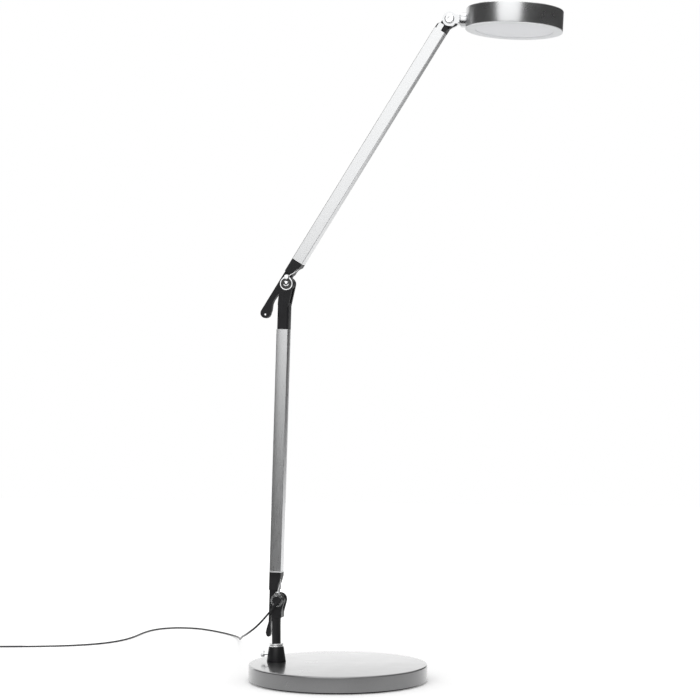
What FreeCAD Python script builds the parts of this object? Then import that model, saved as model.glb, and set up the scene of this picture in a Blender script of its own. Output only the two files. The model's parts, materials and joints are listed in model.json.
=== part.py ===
import FreeCAD, Part
import math
import os

V = FreeCAD.Vector
os.makedirs("parts", exist_ok=True)

# Counterweight balance desk lamp, millimetres. The floor is z = 0, the base disc is centred on
# the origin, the arms stand in the XZ plane and the head points towards +X. Each arm is drawn
# in its own axes: x across the arm (towards the front), y the joint depth, z along the arm.

# --- driving dimensions ---------------------------------------------------------------------
BASE_RADIUS = 112.5
BASE_TOP = 21.5
BASE_EDGE_RADIUS = 3.0
COVER_WALL = 1.5
COVER_LIFT = 2.2
BALLAST_THICKNESS = 9.0
BALLAST_GAP = 0.4
BOTTOM_PLATE_THICKNESS = 1.5
FOOT_PAD_MARGIN = 4.5
BOTTOM_SCREW_CIRCLE_SHARE = 0.55
BOTTOM_SCREW_RADIUS = 1.65
BOTTOM_SCREW_HEAD_RADIUS = 3.6
BOSS_RADIUS = 7.0

POST_EDGE_DISTANCE = 32.3
POST_RADIUS = 5.6
CONE_BOTTOM_RADIUS = 12.2
CONE_TOP_RADIUS = 9.4
CONE_HEIGHT = 18.7
SPINDLE_RADIUS = 4.0
SPINDLE_FIT = 0.06
SOCKET_BOLT_RADIUS = 3.0
SOCKET_BOLT_HEAD_RADIUS = 5.2
SOCKET_BOLT_HEAD_HEIGHT = 3.9
RING_RADIUS = 9.0
RING_THICKNESS = 2.2
RING_GAP = 0.1
THUMB_HEIGHT = 30.8
THUMB_SHANK_RADIUS = 1.6
THUMB_HEAD_RADIUS = 4.1
THUMB_HEAD_START = 16.2
THUMB_HEAD_THICKNESS = 3.2

PIVOT_OFFSET = 3.2
LOWER_PIVOT_HEIGHT = 99.8
LOWER_LENGTH = 400.0
LOWER_LEAN = 1.75
UPPER_LENGTH = 386.0
UPPER_LEAN = 32.7
HEAD_DIP = 3.1

TONGUE_HALF = 3.6
DISC_GAP = 0.05
DISC_THICKNESS = 0.7
CHEEK_THICKNESS = 3.9
CHEEK_RADIUS = 9.0
ELBOW_CHEEK_RADIUS = 8.5
TONGUE_RADIUS = 8.4
DISC_RADIUS = 7.6
BOLT_RADIUS = 3.0
BOLT_FIT = 0.05
BORE_RADIUS = 1.4
ANCHOR_THICKNESS = 1.1
ANCHOR_RADIUS = 8.2
PEG_HEIGHT = 8.0
PEG_SIDE = 0.7
PEG_LUG_RADIUS = 3.3
PEG_RADIUS = 1.6
PEG_HEAD_RADIUS = 2.9
PEG_HEAD_THICKNESS = 1.2
PEG_NECK = 2.4
WIRE_RADIUS = 0.5
NUT_RADIUS = 5.2
NUT_HEIGHT = 4.2
NUT_FLANGE_RADIUS = 6.4
NUT_FLANGE_THICKNESS = 0.8
LOWER_BOLT_HEAD_RADIUS = 4.2
LOWER_BOLT_HEAD_HEIGHT = 2.4
UPPER_BOLT_HEAD_RADIUS = 4.0
UPPER_BOLT_HEAD_HEIGHT = 2.8
UPPER_WASHER_RADIUS = 7.0
UPPER_WASHER_THICKNESS = 0.5
HEAD_BOLT_HEAD_RADIUS = 6.0
HEAD_BOLT_HEAD_HEIGHT = 2.4
CAP_RADIUS = 5.0
CAP_THICKNESS = 3.9
ELBOW_RADIUS = 3.0
GLAND_LENGTH = 13.0

CORD_RADIUS = 1.2
COIL_TURNS = 7.25
COIL_INNER_RADIUS = 12.8
COIL_PITCH = 2.9
ADAPTER_GLAND_LENGTH = 26.0
ADAPTER_LENGTH = 56.0
ADAPTER_WIDTH = 36.0
ADAPTER_HEIGHT = 24.0
PIN_RADIUS = 2.0
PIN_LENGTH = 19.0
PIN_SPACING = 19.0

TUBE_SIDE = 15.0
TUBE_WALL = 1.2
TUBE_CORNER = 0.8
TUBE_INNER_CORNER = 0.4
PLUG_CLEARANCE = 0.05
PLUG_LENGTH = 18.0
LOWER_TUBE_OFFSET = -4.0
LOWER_TUBE_START = 36.4
LOWER_TOP_FITTING_LENGTH = 57.5
FORK_SLOT_DEPTH = 24.0
END_PLATE_THICKNESS = 1.5
UPPER_TUBE_OFFSET = -3.5
UPPER_TUBE_START = 32.4
UPPER_TOP_SETBACK = 17.8
BLOCK_START = 12.6
TAIL_RIVET_RADIUS = 0.9
LEAD_BORE_RADIUS = 2.2
WIRE_BORE_RADIUS = 3.0
WIRE_ENTRY_RADIUS = 1.3
ARM_SCREW_RADIUS = 1.5
ARM_SCREW_HEAD_RADIUS = 2.7
ARM_SCREW_SETBACK = 9.0

SPRING_RADIUS = 4.1
SPRING_WIRE_RADIUS = 0.6
SPRING_PITCH = 6.6
SPRING_TURNS = 16
SPRING_START = 150.0
SPRING_PLUG_THICKNESS = 4.0
SPRING_PIN_RADIUS = 1.2

HEAD_RADIUS = 60.0
HEAD_NECK_LENGTH = 19.8
HEAD_HALF_HEIGHT = 13.0
HEAD_EDGE_RADIUS = 1.6
HOUSING_WALL = 1.6
HOUSING_TOP_THICKNESS = 2.0
RIM_LIP = 0.8
RIM_LIP_INSET = 0.3
NECK_RADIUS = 6.5
NECK_END = 17.0
STUB_RADIUS = 4.0
STUB_END = 28.0
COLLAR_RADIUS = 9.4
COLLAR_START = 13.4
NECK_NUT_RADIUS = 6.6
NECK_NUT_END = 25.5
RIM_WIDTH = 12.0
RIM_THICKNESS = 3.0
DIFFUSER_THICKNESS = 2.0
DIFFUSER_RECESS = 1.0
DIFFUSER_LAP = 1.6
LED_PLATE_BOTTOM = 2.0
LED_PLATE_THICKNESS = 2.5
LED_BOARD_MARGIN = 4.0
LED_BOARD_THICKNESS = 1.4
LED_CHIP = 3.0
LED_CHIP_HEIGHT = 0.8
LED_RINGS = ((0.32, 6), (0.61, 12), (0.86, 16))
HEAD_POST_INSET = 10.0
HEAD_POST_RADIUS = 3.4
HEAD_SCREW_RADIUS = 1.4
HEAD_SCREW_HEAD_RADIUS = 2.6
HEAD_SCREW_HEAD_HEIGHT = 1.6
SWITCH_INSET = 22.0
SWITCH_RADIUS = 6.5
SWITCH_GAP = 0.3
SWITCH_PROUD = 1.5
SWITCH_FLANGE_RADIUS = 7.8
SWITCH_FLANGE_THICKNESS = 1.0
SWITCH_TRAVEL = 1.2

# --- positions that follow --------------------------------------------------------------------
POST_X = POST_EDGE_DISTANCE - BASE_RADIUS
FOOT_PAD_RADIUS = BASE_RADIUS - FOOT_PAD_MARGIN
BOTTOM_SCREW_CIRCLE = BOTTOM_SCREW_CIRCLE_SHARE * BASE_RADIUS
LOWER_TUBE_END = LOWER_LENGTH - LOWER_TOP_FITTING_LENGTH
UPPER_TUBE_END = UPPER_LENGTH - UPPER_TOP_SETBACK
HEAD_REACH = HEAD_RADIUS + HEAD_NECK_LENGTH
RIM_INNER_RADIUS = HEAD_RADIUS - RIM_WIDTH
LED_BOARD_RADIUS = RIM_INNER_RADIUS - LED_BOARD_MARGIN
HEAD_POST_CIRCLE = HEAD_RADIUS - HEAD_POST_INSET
SWITCH_BACK = HEAD_RADIUS - SWITCH_INSET
COVER_INNER_RADIUS = BASE_RADIUS - COVER_WALL
COVER_UNDERSIDE = BASE_TOP - COVER_WALL
BALLAST_BOTTOM = COVER_UNDERSIDE - BALLAST_THICKNESS
PLATE_TOP = COVER_LIFT + BOTTOM_PLATE_THICKNESS
CONE_TOP = BASE_TOP + CONE_HEIGHT
POST_BOTTOM = CONE_TOP + 2 * RING_THICKNESS + RING_GAP
CHEEK_INNER = TONGUE_HALF + DISC_GAP + DISC_THICKNESS
CHEEK_OUTER = CHEEK_INNER + CHEEK_THICKNESS
ANCHOR_FACE = CHEEK_OUTER + ANCHOR_THICKNESS
TUBE_HALF = TUBE_SIDE / 2
TUBE_INNER_HALF = TUBE_HALF - TUBE_WALL
PLUG_HALF = TUBE_INNER_HALF - PLUG_CLEARANCE
PIVOT_1 = V(POST_X + PIVOT_OFFSET, 0, LOWER_PIVOT_HEIGHT)


def along(pivot, lean, distance):
    """Point at a distance from a pivot on a line leaning from the vertical towards +X."""
    angle = math.radians(lean)
    return pivot + V(distance * math.sin(angle), 0, distance * math.cos(angle))


PIVOT_2 = along(PIVOT_1, LOWER_LEAN, LOWER_LENGTH)
PIVOT_3 = along(PIVOT_2, UPPER_LEAN, UPPER_LENGTH)


# --- small helpers ----------------------------------------------------------------------------
def cylinder(radius, start, end):
    """Cylinder between two points."""
    axis = end.sub(start)
    return Part.makeCylinder(radius, axis.Length, start, axis)


def cone(radius_1, radius_2, start, end):
    """Cone between two points."""
    axis = end.sub(start)
    return Part.makeCone(radius_1, radius_2, axis.Length, start, axis)


def block(x0, x1, y0, y1, z0, z1):
    """Box given by its limits."""
    return Part.makeBox(x1 - x0, y1 - y0, z1 - z0, V(x0, y0, z0))


def plate(points, y0, y1):
    """Plate whose outline is a closed polygon of (x, z) corners, between two depths."""
    corners = [V(x, y0, z) for x, z in points]
    corners.append(corners[0])
    return Part.Face(Part.makePolygon(corners)).extrude(V(0, y1 - y0, 0))


def link(centre_1, radius_1, centre_2, radius_2, y0, y1):
    """Plate whose outline is a belt round two circles of the XZ plane."""
    dx = centre_2[0] - centre_1[0]
    dz = centre_2[1] - centre_1[1]
    heading = math.atan2(dz, dx)
    spread = math.acos((radius_1 - radius_2) / math.hypot(dx, dz))

    def rim(centre, radius, angle):
        return V(centre[0] + radius * math.cos(angle), y0, centre[1] + radius * math.sin(angle))

    p1 = rim(centre_1, radius_1, heading + spread)
    p2 = rim(centre_2, radius_2, heading + spread)
    p3 = rim(centre_2, radius_2, heading - spread)
    p4 = rim(centre_1, radius_1, heading - spread)
    far_arc = Part.Arc(p2, rim(centre_2, radius_2, heading), p3).toShape()
    near_arc = Part.Arc(p4, rim(centre_1, radius_1, heading + math.pi), p1).toShape()
    outline = Part.Wire([Part.makeLine(p1, p2), far_arc, Part.makeLine(p3, p4), near_arc])
    return Part.Face(outline).extrude(V(0, y1 - y0, 0))


def disc(centre, radius, y0, y1):
    """Round plate across the joint depth."""
    return cylinder(radius, V(centre[0], y0, centre[1]), V(centre[0], y1, centre[1]))


def upright_edges(shape, heading=V(0, 0, 1)):
    """Straight edges that run along a heading."""
    found = []
    for edge in shape.Edges:
        span = edge.Vertexes[-1].Point.sub(edge.Vertexes[0].Point)
        if span.Length > 1e-6 and span.cross(heading).Length < 1e-6 * span.Length:
            found.append(edge)
    return found


def ring_edges(shape, radius, z):
    """Circular edges of one radius at one height."""
    found = []
    for edge in shape.Edges:
        curve = edge.Curve
        if isinstance(curve, Part.Circle) and abs(curve.Radius - radius) < 1e-4:
            if abs(curve.Center.z - z) < 1e-4:
                found.append(edge)
    return found


def bar(x0, x1, half_depth, z0, z1, corner):
    """Upright square bar with rounded long edges."""
    solid = block(x0, x1, -half_depth, half_depth, z0, z1)
    return solid.makeFillet(corner, upright_edges(solid))


def hexagon(across_flats, start, end):
    """Hexagonal prism between two points on an axis of the model."""
    axis = end.sub(start)
    radius = across_flats / math.sqrt(3)
    side = V(0, 1, 0) if abs(axis.y) < 1e-9 else V(1, 0, 0)
    other = V(axis).normalize().cross(side)
    corners = []
    for step in range(6):
        angle = math.radians(60 * step)
        spoke = side * (radius * math.cos(angle)) + other * (radius * math.sin(angle))
        corners.append(start + spoke)
    corners.append(corners[0])
    return Part.Face(Part.makePolygon(corners)).extrude(axis)


def tube_route(points):
    """Straight runs through the points, joined by tangent arcs, as one wire; least radius too."""
    edges = []
    least = 1e9
    previous = points[0]
    for before, corner, after in zip(points, points[1:], points[2:]):
        back = before.sub(corner)
        ahead = after.sub(corner)
        turn = math.pi - back.getAngle(ahead)
        reach = 0.45 * min(back.Length, ahead.Length)
        radius = reach / math.tan(turn / 2)
        least = min(least, radius)
        back.normalize()
        ahead.normalize()
        start = corner + back * reach
        end = corner + ahead * reach
        inward = (back + ahead).normalize()
        middle = corner + inward * (radius / math.cos(turn / 2) - radius)
        edges.append(Part.LineSegment(previous, start).toShape())
        edges.append(Part.Arc(start, middle, end).toShape())
        previous = end
    edges.append(Part.LineSegment(previous, points[-1]).toShape())
    return Part.Wire(edges), least


def biarcs(points, headings):
    """Wire of tangent arcs, two from each point to the next, that keeps the given headings."""
    edges = []
    for p0, p1, t0, t1 in zip(points, points[1:], headings, headings[1:]):
        chord = p1.sub(p0)
        both = t0 + t1
        bend = 2 * (1 - t0.dot(t1))
        reach = chord.dot(chord) / (2 * chord.dot(both))
        if bend > 1e-9:
            root = math.sqrt(chord.dot(both) ** 2 + bend * chord.dot(chord))
            reach = (root - chord.dot(both)) / bend
        joint = (p0 + p1 + (t0 - t1) * reach) * 0.5
        for start, corner, end in ((p0, p0 + t0 * reach, joint), (joint, p1 - t1 * reach, p1)):
            base = (start + end) * 0.5
            rise = corner.sub(base)
            half = end.sub(start).Length / 2
            middle = base + rise * (half / (half + math.hypot(rise.Length, half)))
            edges.append(Part.Arc(start, middle, end).toShape())
    return edges


def round_tube(route, radius):
    """Solid round section swept along a wire."""
    start = route.OrderedVertexes[0].Point
    heading = route.OrderedEdges[0].tangentAt(route.OrderedEdges[0].FirstParameter)
    circle = Part.Wire(Part.makeCircle(radius, start, heading))
    shell = Part.BRepOffsetAPI.MakePipeShell(route)
    shell.add(circle)
    shell.build()
    shell.makeSolid()
    return shell.shape()


def put_on_arm(shape, pivot, lean):
    """Moves a shape from an arm's own axes to its place on the lamp."""
    moved = shape.copy()
    moved.rotate(V(0, 0, 0), V(0, 1, 0), lean)
    moved.translate(pivot)
    return moved


def save(name, shape):
    """Writes one node as a STEP file."""
    solids = shape.Solids
    whole = solids[0] if len(solids) == 1 else Part.makeCompound(solids)
    if not solids or not whole.isValid():
        raise RuntimeError("bad shape: " + name)
    whole.exportStep("parts/" + name + ".step")
    print(name, len(solids), "solid(s)", round(sum(s.Volume for s in solids) / 1000, 2), "cm3")


def save_on_arm(name, shape, pivot, lean):
    """Writes one node drawn in an arm's own axes."""
    save(name, put_on_arm(shape, pivot, lean))


# --- base -------------------------------------------------------------------------------------
def circle_of(radius, count, first=0.0):
    """Evenly spaced (x, y) points round the origin."""
    points = []
    for step in range(count):
        angle = math.radians(first + 360.0 * step / count)
        points.append((radius * math.cos(angle), radius * math.sin(angle)))
    return points


def post_axis(z):
    return V(POST_X, 0, z)


def base_cover():
    """Drawn disc cover with a rounded top edge and a hole for the socket bolt."""
    outer = cylinder(BASE_RADIUS, V(0, 0, COVER_LIFT), V(0, 0, BASE_TOP))
    outer = outer.makeFillet(BASE_EDGE_RADIUS, ring_edges(outer, BASE_RADIUS, BASE_TOP))
    inner = cylinder(COVER_INNER_RADIUS, V(0, 0, COVER_LIFT - 1), V(0, 0, COVER_UNDERSIDE))
    rim = ring_edges(inner, COVER_INNER_RADIUS, COVER_UNDERSIDE)
    inner = inner.makeFillet(BASE_EDGE_RADIUS - COVER_WALL, rim)
    hole = cylinder(SOCKET_BOLT_RADIUS + 0.2, post_axis(0), post_axis(BASE_TOP + 1))
    return outer.cut(inner).cut(hole)


def ballast():
    """Iron weight under the cover, with three bosses for the bottom plate."""
    radius = COVER_INNER_RADIUS - BASE_EDGE_RADIUS + COVER_WALL - BALLAST_GAP
    weight = cylinder(radius, V(0, 0, BALLAST_BOTTOM), V(0, 0, COVER_UNDERSIDE))
    for x, y in circle_of(BOTTOM_SCREW_CIRCLE, 3, 60.0):
        weight = weight.fuse(cylinder(BOSS_RADIUS, V(x, y, PLATE_TOP), V(x, y, BALLAST_BOTTOM + 1)))
    for x, y in circle_of(BOTTOM_SCREW_CIRCLE, 3, 60.0):
        weight = weight.cut(cylinder(BOTTOM_SCREW_RADIUS, V(x, y, 0), V(x, y, BALLAST_BOTTOM + 3)))
    seat = BALLAST_BOTTOM + SOCKET_BOLT_HEAD_HEIGHT + 0.6
    weight = weight.cut(cylinder(SOCKET_BOLT_RADIUS + 0.2, post_axis(0), post_axis(BASE_TOP)))
    return weight.cut(cylinder(SOCKET_BOLT_HEAD_RADIUS + 0.5, post_axis(0), post_axis(seat)))


def bottom_plate():
    """Thin plate that closes the base, countersunk for three screws."""
    sheet = cylinder(COVER_INNER_RADIUS - 0.3, V(0, 0, COVER_LIFT), V(0, 0, PLATE_TOP))
    for x, y in circle_of(BOTTOM_SCREW_CIRCLE, 3, 60.0):
        sheet = sheet.cut(cone(BOTTOM_SCREW_HEAD_RADIUS, BOTTOM_SCREW_RADIUS,
                               V(x, y, COVER_LIFT), V(x, y, PLATE_TOP)))
    return sheet


def bottom_screws():
    """Three countersunk screws with a cross recess."""
    screws = []
    for x, y in circle_of(BOTTOM_SCREW_CIRCLE, 3, 60.0):
        head = cone(BOTTOM_SCREW_HEAD_RADIUS, BOTTOM_SCREW_RADIUS,
                    V(x, y, COVER_LIFT), V(x, y, PLATE_TOP))
        screw = head.fuse(cylinder(BOTTOM_SCREW_RADIUS, V(x, y, PLATE_TOP), V(x, y, BALLAST_BOTTOM)))
        screw = screw.cut(block(x - 1.8, x + 1.8, y - 0.35, y + 0.35, COVER_LIFT, COVER_LIFT + 0.8))
        screw = screw.cut(block(x - 0.35, x + 0.35, y - 1.8, y + 1.8, COVER_LIFT, COVER_LIFT + 0.8))
        screws.append(screw)
    return Part.makeCompound(screws)


def foot_pad():
    """Soft pad the lamp stands on; it hides the screws."""
    return cylinder(FOOT_PAD_RADIUS, V(0, 0, 0), V(0, 0, COVER_LIFT))


def socket_cone():
    """Black conical socket: spindle bore above, tapped hole below, thumb screw hole at its side."""
    body = cone(CONE_BOTTOM_RADIUS, CONE_TOP_RADIUS, post_axis(BASE_TOP), post_axis(CONE_TOP))
    body = body.makeFillet(0.5, ring_edges(body, CONE_BOTTOM_RADIUS, BASE_TOP))
    body = body.cut(cylinder(SOCKET_BOLT_RADIUS, post_axis(BASE_TOP - 1), post_axis(BASE_TOP + 5.6)))
    bore = cylinder(SPINDLE_RADIUS + SPINDLE_FIT, post_axis(BASE_TOP + 6.2), post_axis(CONE_TOP + 1))
    side = cylinder(THUMB_SHANK_RADIUS + SPINDLE_FIT, post_axis(THUMB_HEIGHT),
                    V(POST_X - CONE_BOTTOM_RADIUS - 1, 0, THUMB_HEIGHT))
    return body.cut(bore).cut(side)


def socket_bolt():
    """Bolt from below that clamps weight, cover and socket together."""
    seat = BALLAST_BOTTOM + SOCKET_BOLT_HEAD_HEIGHT + 0.6
    bottom = seat - SOCKET_BOLT_HEAD_HEIGHT
    head = cylinder(SOCKET_BOLT_HEAD_RADIUS, post_axis(bottom), post_axis(seat))
    bolt = head.fuse(cylinder(SOCKET_BOLT_RADIUS, post_axis(seat), post_axis(BASE_TOP + 5.4)))
    return bolt.cut(hexagon(5.0, post_axis(bottom), post_axis(bottom + 2.4)))


def thumb_screw():
    """Small thumb screw with a knurled round head."""
    tip = V(POST_X - SPINDLE_RADIUS + 0.55, 0, THUMB_HEIGHT)
    start = V(POST_X - THUMB_HEAD_START, 0, THUMB_HEIGHT)
    end = V(POST_X - THUMB_HEAD_START - THUMB_HEAD_THICKNESS, 0, THUMB_HEIGHT)
    screw = cylinder(THUMB_SHANK_RADIUS, tip, start)
    screw = screw.fuse(cylinder(THUMB_SHANK_RADIUS + 0.8, start + V(1.0, 0, 0), start))
    head = cylinder(THUMB_HEAD_RADIUS, start, end)
    for step in range(18):
        angle = math.radians(20 * step)
        side = V(0, THUMB_HEAD_RADIUS * math.cos(angle), THUMB_HEAD_RADIUS * math.sin(angle))
        head = head.cut(cylinder(0.32, start + side + V(1, 0, 0), end + side - V(1, 0, 0)))
    slot = block(end.x - 1, end.x + 0.8, -0.5, 0.5, THUMB_HEIGHT - 5, THUMB_HEIGHT + 5)
    return screw.fuse(head).cut(slot)


def thrust_ring(z, bore):
    """Bright ring between socket and post."""
    ring = cylinder(RING_RADIUS, post_axis(z), post_axis(z + RING_THICKNESS))
    edges = ring_edges(ring, RING_RADIUS, z) + ring_edges(ring, RING_RADIUS, z + RING_THICKNESS)
    ring = ring.makeFillet(0.7, edges)
    return ring.cut(cylinder(bore, post_axis(z - 1), post_axis(z + RING_THICKNESS + 1)))


# --- post -------------------------------------------------------------------------------------
def spindle():
    """Steel pin pressed into the post, with a groove for the thumb screw."""
    bottom = BASE_TOP + 6.5
    pin = cylinder(SPINDLE_RADIUS, post_axis(bottom), post_axis(POST_BOTTOM + 18))
    pin = pin.makeChamfer(0.6, ring_edges(pin, SPINDLE_RADIUS, bottom))
    groove = cylinder(SPINDLE_RADIUS + 1, post_axis(THUMB_HEIGHT - 2), post_axis(THUMB_HEIGHT + 2))
    core = cylinder(SPINDLE_RADIUS - 0.6, post_axis(THUMB_HEIGHT - 3), post_axis(THUMB_HEIGHT + 3))
    return pin.cut(groove.cut(core))


def peg_lug(y0, y1, radius):
    """Nose over the pivot that carries the spring peg."""
    return link((0, 0), radius, (PEG_SIDE, PEG_HEIGHT), PEG_LUG_RADIUS, y0, y1)


def post():
    """Round black post that opens into a fork round the lower pivot."""
    column = cylinder(POST_RADIUS, post_axis(POST_BOTTOM), post_axis(LOWER_PIVOT_HEIGHT - 12))
    root = block(-POST_RADIUS - PIVOT_OFFSET + 0.9, POST_RADIUS - PIVOT_OFFSET + 2.8,
                 -CHEEK_OUTER, CHEEK_OUTER, -22.0, -10.6)
    root = root.makeFillet(1.2, upright_edges(root))
    taper = Part.makeLoft([
        Part.Wire(Part.makeCircle(POST_RADIUS, V(-PIVOT_OFFSET, 0, -30.0))),
        Part.Wire(Part.makeCircle(POST_RADIUS + 0.3, V(-PIVOT_OFFSET, 0, -21.0))),
    ], True)
    fork = root.fuse(taper)
    for side in (-1, 1):
        y0 = min(side * CHEEK_INNER, side * CHEEK_OUTER)
        foot = (1.5 - PIVOT_OFFSET, -16.0)
        fork = fork.fuse(link((0, 0), CHEEK_RADIUS, foot, 6.4, y0, y0 + CHEEK_THICKNESS))
    fork = fork.fuse(peg_lug(-CHEEK_OUTER, -CHEEK_INNER, CHEEK_RADIUS))
    fork = fork.cut(disc((0, 0), BOLT_RADIUS, -20, 20))
    fork = fork.cut(disc((PEG_SIDE, PEG_HEIGHT), PEG_RADIUS, -20, 0))
    fork = fork.cut(disc((0, 0), TONGUE_RADIUS + 0.5, -CHEEK_INNER, CHEEK_INNER))
    fork.translate(PIVOT_1)
    whole = column.fuse(fork).removeSplitter()
    return whole.cut(cylinder(SPINDLE_RADIUS, post_axis(0), post_axis(POST_BOTTOM + 18)))


# --- joint hardware, in the pivot's axes --------------------------------------------------------
def spring_anchor():
    """Bright washer with a nose, and the peg riveted through it that holds the wire's eye."""
    sheet = peg_lug(-ANCHOR_FACE, -CHEEK_OUTER, ANCHOR_RADIUS)
    sheet = sheet.cut(disc((0, 0), BOLT_RADIUS, -20, 20))
    centre = (PEG_SIDE, PEG_HEIGHT)
    neck_end = -ANCHOR_FACE - PEG_NECK
    pin = disc(centre, PEG_RADIUS, neck_end, -CHEEK_INNER)
    head = disc(centre, PEG_HEAD_RADIUS, neck_end - PEG_HEAD_THICKNESS, neck_end)
    outer = [e for e in head.Edges if isinstance(e.Curve, Part.Circle)
             and abs(e.Curve.Center.y - (neck_end - PEG_HEAD_THICKNESS)) < 1e-4]
    return sheet.fuse(pin).fuse(head.makeFillet(0.5, outer))


def friction_discs():
    """Two friction discs, one each side of the tongue."""
    discs = []
    for y0 in (-CHEEK_INNER, CHEEK_INNER - DISC_THICKNESS):
        washer = disc((0, 0), DISC_RADIUS, y0, y0 + DISC_THICKNESS)
        discs.append(washer.cut(disc((0, 0), BOLT_RADIUS, -20, 20)))
    return Part.makeCompound(discs)


def bolt(head_start, head_radius, head_height, dome):
    """Pivot bolt: head on the near side, shank through the joint to the nut."""
    shank_end = CHEEK_OUTER + NUT_HEIGHT - 1.2
    shank = disc((0, 0), BOLT_RADIUS, -head_start, shank_end)
    head = disc((0, 0), head_radius, -head_start - head_height, -head_start)
    outer = [e for e in head.Edges if isinstance(e.Curve, Part.Circle)
             and abs(e.Curve.Center.y + head_start + head_height) < 1e-4]
    head = head.makeFillet(dome, outer)
    return shank.fuse(head)


def nut():
    """Domed flange nut on the far side."""
    start = CHEEK_OUTER
    flange = disc((0, 0), NUT_FLANGE_RADIUS, start, start + NUT_FLANGE_THICKNESS)
    body = hexagon(2 * NUT_RADIUS * math.cos(math.pi / 6), V(0, start, 0), V(0, start + 2.8, 0))
    cap = disc((0, 0), NUT_RADIUS - 1.0, start + 2.8, start + NUT_HEIGHT)
    outer = [e for e in cap.Edges if isinstance(e.Curve, Part.Circle)
             and abs(e.Curve.Center.y - start - NUT_HEIGHT) < 1e-4]
    cap = cap.makeFillet(1.0, outer)
    shank_end = start + NUT_HEIGHT - 1.2
    return flange.fuse(body).fuse(cap).cut(disc((0, 0), BOLT_RADIUS, 0, shank_end))


# --- arms ---------------------------------------------------------------------------------------
def square_tube(offset, start, end):
    """Aluminium square tube with rounded corners."""
    outer = bar(offset - TUBE_HALF, offset + TUBE_HALF, TUBE_HALF, start, end, TUBE_CORNER)
    inner = bar(offset - TUBE_INNER_HALF, offset + TUBE_INNER_HALF, TUBE_INNER_HALF,
                start - 1, end + 1, TUBE_INNER_CORNER)
    return outer.cut(inner)


def arm_screw(offset, z, fill):
    """Countersunk screw through the tube's back wall, or its seat."""
    surface = TUBE_HALF
    depth = ARM_SCREW_HEAD_RADIUS - ARM_SCREW_RADIUS
    neck = V(offset, surface - depth, z)
    head = cone(ARM_SCREW_HEAD_RADIUS, ARM_SCREW_RADIUS, V(offset, surface, z), neck)
    screw = head.fuse(cylinder(ARM_SCREW_RADIUS, neck, V(offset, surface - 5.5, z)))
    if fill:
        screw = screw.cut(hexagon(2.0, V(offset, surface, z), V(offset, surface - 0.8, z)))
    return screw


def tube_with_seats(offset, start, end):
    tube = square_tube(offset, start, end)
    for z in (start + ARM_SCREW_SETBACK, end - ARM_SCREW_SETBACK):
        tube = tube.cut(arm_screw(offset, z, False))
    return tube


def arm_screws(offset, start, end):
    """Two screws that hold the fittings in the tube."""
    heights = (start + ARM_SCREW_SETBACK, end - ARM_SCREW_SETBACK)
    return Part.makeCompound([arm_screw(offset, z, True) for z in heights])


def plug(offset, z0, z1):
    """Square plug of a fitting inside the tube."""
    return bar(offset - PLUG_HALF, offset + PLUG_HALF, PLUG_HALF, z0, z1, TUBE_INNER_CORNER + 0.1)


def shoulder(offset, seat):
    """Full-depth part of a bottom fitting: square at the tube, narrower towards the pivot."""
    left = offset - TUBE_HALF
    right = offset + TUBE_HALF
    outline = [(left, BLOCK_START), (0.2, BLOCK_START), (0.3, 19.0), (1.6, 22.6),
               (right, seat - 4.7), (right, seat), (left, seat)]
    solid = plate(outline, -TUBE_HALF, TUBE_HALF)
    left_edges = [e for e in upright_edges(solid) if abs(e.Vertexes[0].X - left) < 1e-6]
    return solid.makeFillet(TUBE_CORNER, left_edges)


def wire_passage(offset, start):
    """Where the spring wire enters the side of a bottom fitting and where it turns up the tube."""
    return V(3.5, -3.2, 24.4), V(offset + 2.2, -0.7, start - 1.5)


def bottom_fitting(offset, start, seat, tail_plate):
    """Black fitting at the foot of an arm: plug, shoulder, tongue and tail in one casting."""
    left = offset - TUBE_HALF
    tongue = disc((0, 0), TONGUE_RADIUS, -TONGUE_HALF, TONGUE_HALF)
    web = plate([(left, -2.0), (0.2, -2.0), (0.2, BLOCK_START + 2), (left, BLOCK_START + 2)],
                -TONGUE_HALF, TONGUE_HALF)
    body = tongue.fuse(web).fuse(tail_plate).fuse(shoulder(offset, seat))
    body = body.fuse(plug(offset, seat, start + PLUG_LENGTH)).removeSplitter()
    body = body.cut(disc((0, 0), BOLT_RADIUS + BOLT_FIT, -20, 20))
    entry, turn = wire_passage(offset, start)
    step = turn.sub(entry).normalize()
    body = body.cut(cylinder(WIRE_BORE_RADIUS, V(offset, 0, turn.z - 2), V(offset, 0, start + 30)))
    body = body.cut(cylinder(WIRE_ENTRY_RADIUS, entry - step * 7, turn + step * 1.5))
    return body.cut(arm_screw(offset, start + ARM_SCREW_SETBACK, False))


def lower_tail():
    """Narrow tail beside the post that swells to a leaf-shaped end."""
    left = LOWER_TUBE_OFFSET - TUBE_HALF
    outline = [(left, 2.0), (left, -28.0), (left - 2.2, -36.0), (left - 3.4, -42.0), (left - 2.4, -45.6),
               (left - 0.4, -47.4), (left + 1.4, -47.0), (left + 2.4, -44.6), (left + 2.6, -41.0),
               (left + 2.2, -34.0), (left + 2.2, 2.0)]
    leaf = plate(outline, -TONGUE_HALF, TONGUE_HALF)
    return leaf.makeFillet(0.9, [e for e in upright_edges(leaf, V(0, 1, 0)) if e.BoundBox.ZMin < -30])


def upper_tail():
    """Wider tail that runs on in the line of the upper arm, with a round lobe."""
    left = UPPER_TUBE_OFFSET - TUBE_HALF
    outline = [(left, 2.0), (left, -46.4), (left + 12.9, -46.4), (left + 11.4, -39.5),
               (left + 8.1, -32.0), (left + 7.3, -27.0), (left + 7.9, -18.0), (left + 9.5, -9.0),
               (left + 9.5, 2.0)]
    neck = plate(outline, -TONGUE_HALF, TONGUE_HALF)
    tail = neck.fuse(disc((left + 6.5, -46.4), 6.5, -TONGUE_HALF, TONGUE_HALF))
    return tail.cut(disc((left + 7.6, -48.0), TAIL_RIVET_RADIUS, -20, 20))


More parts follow.
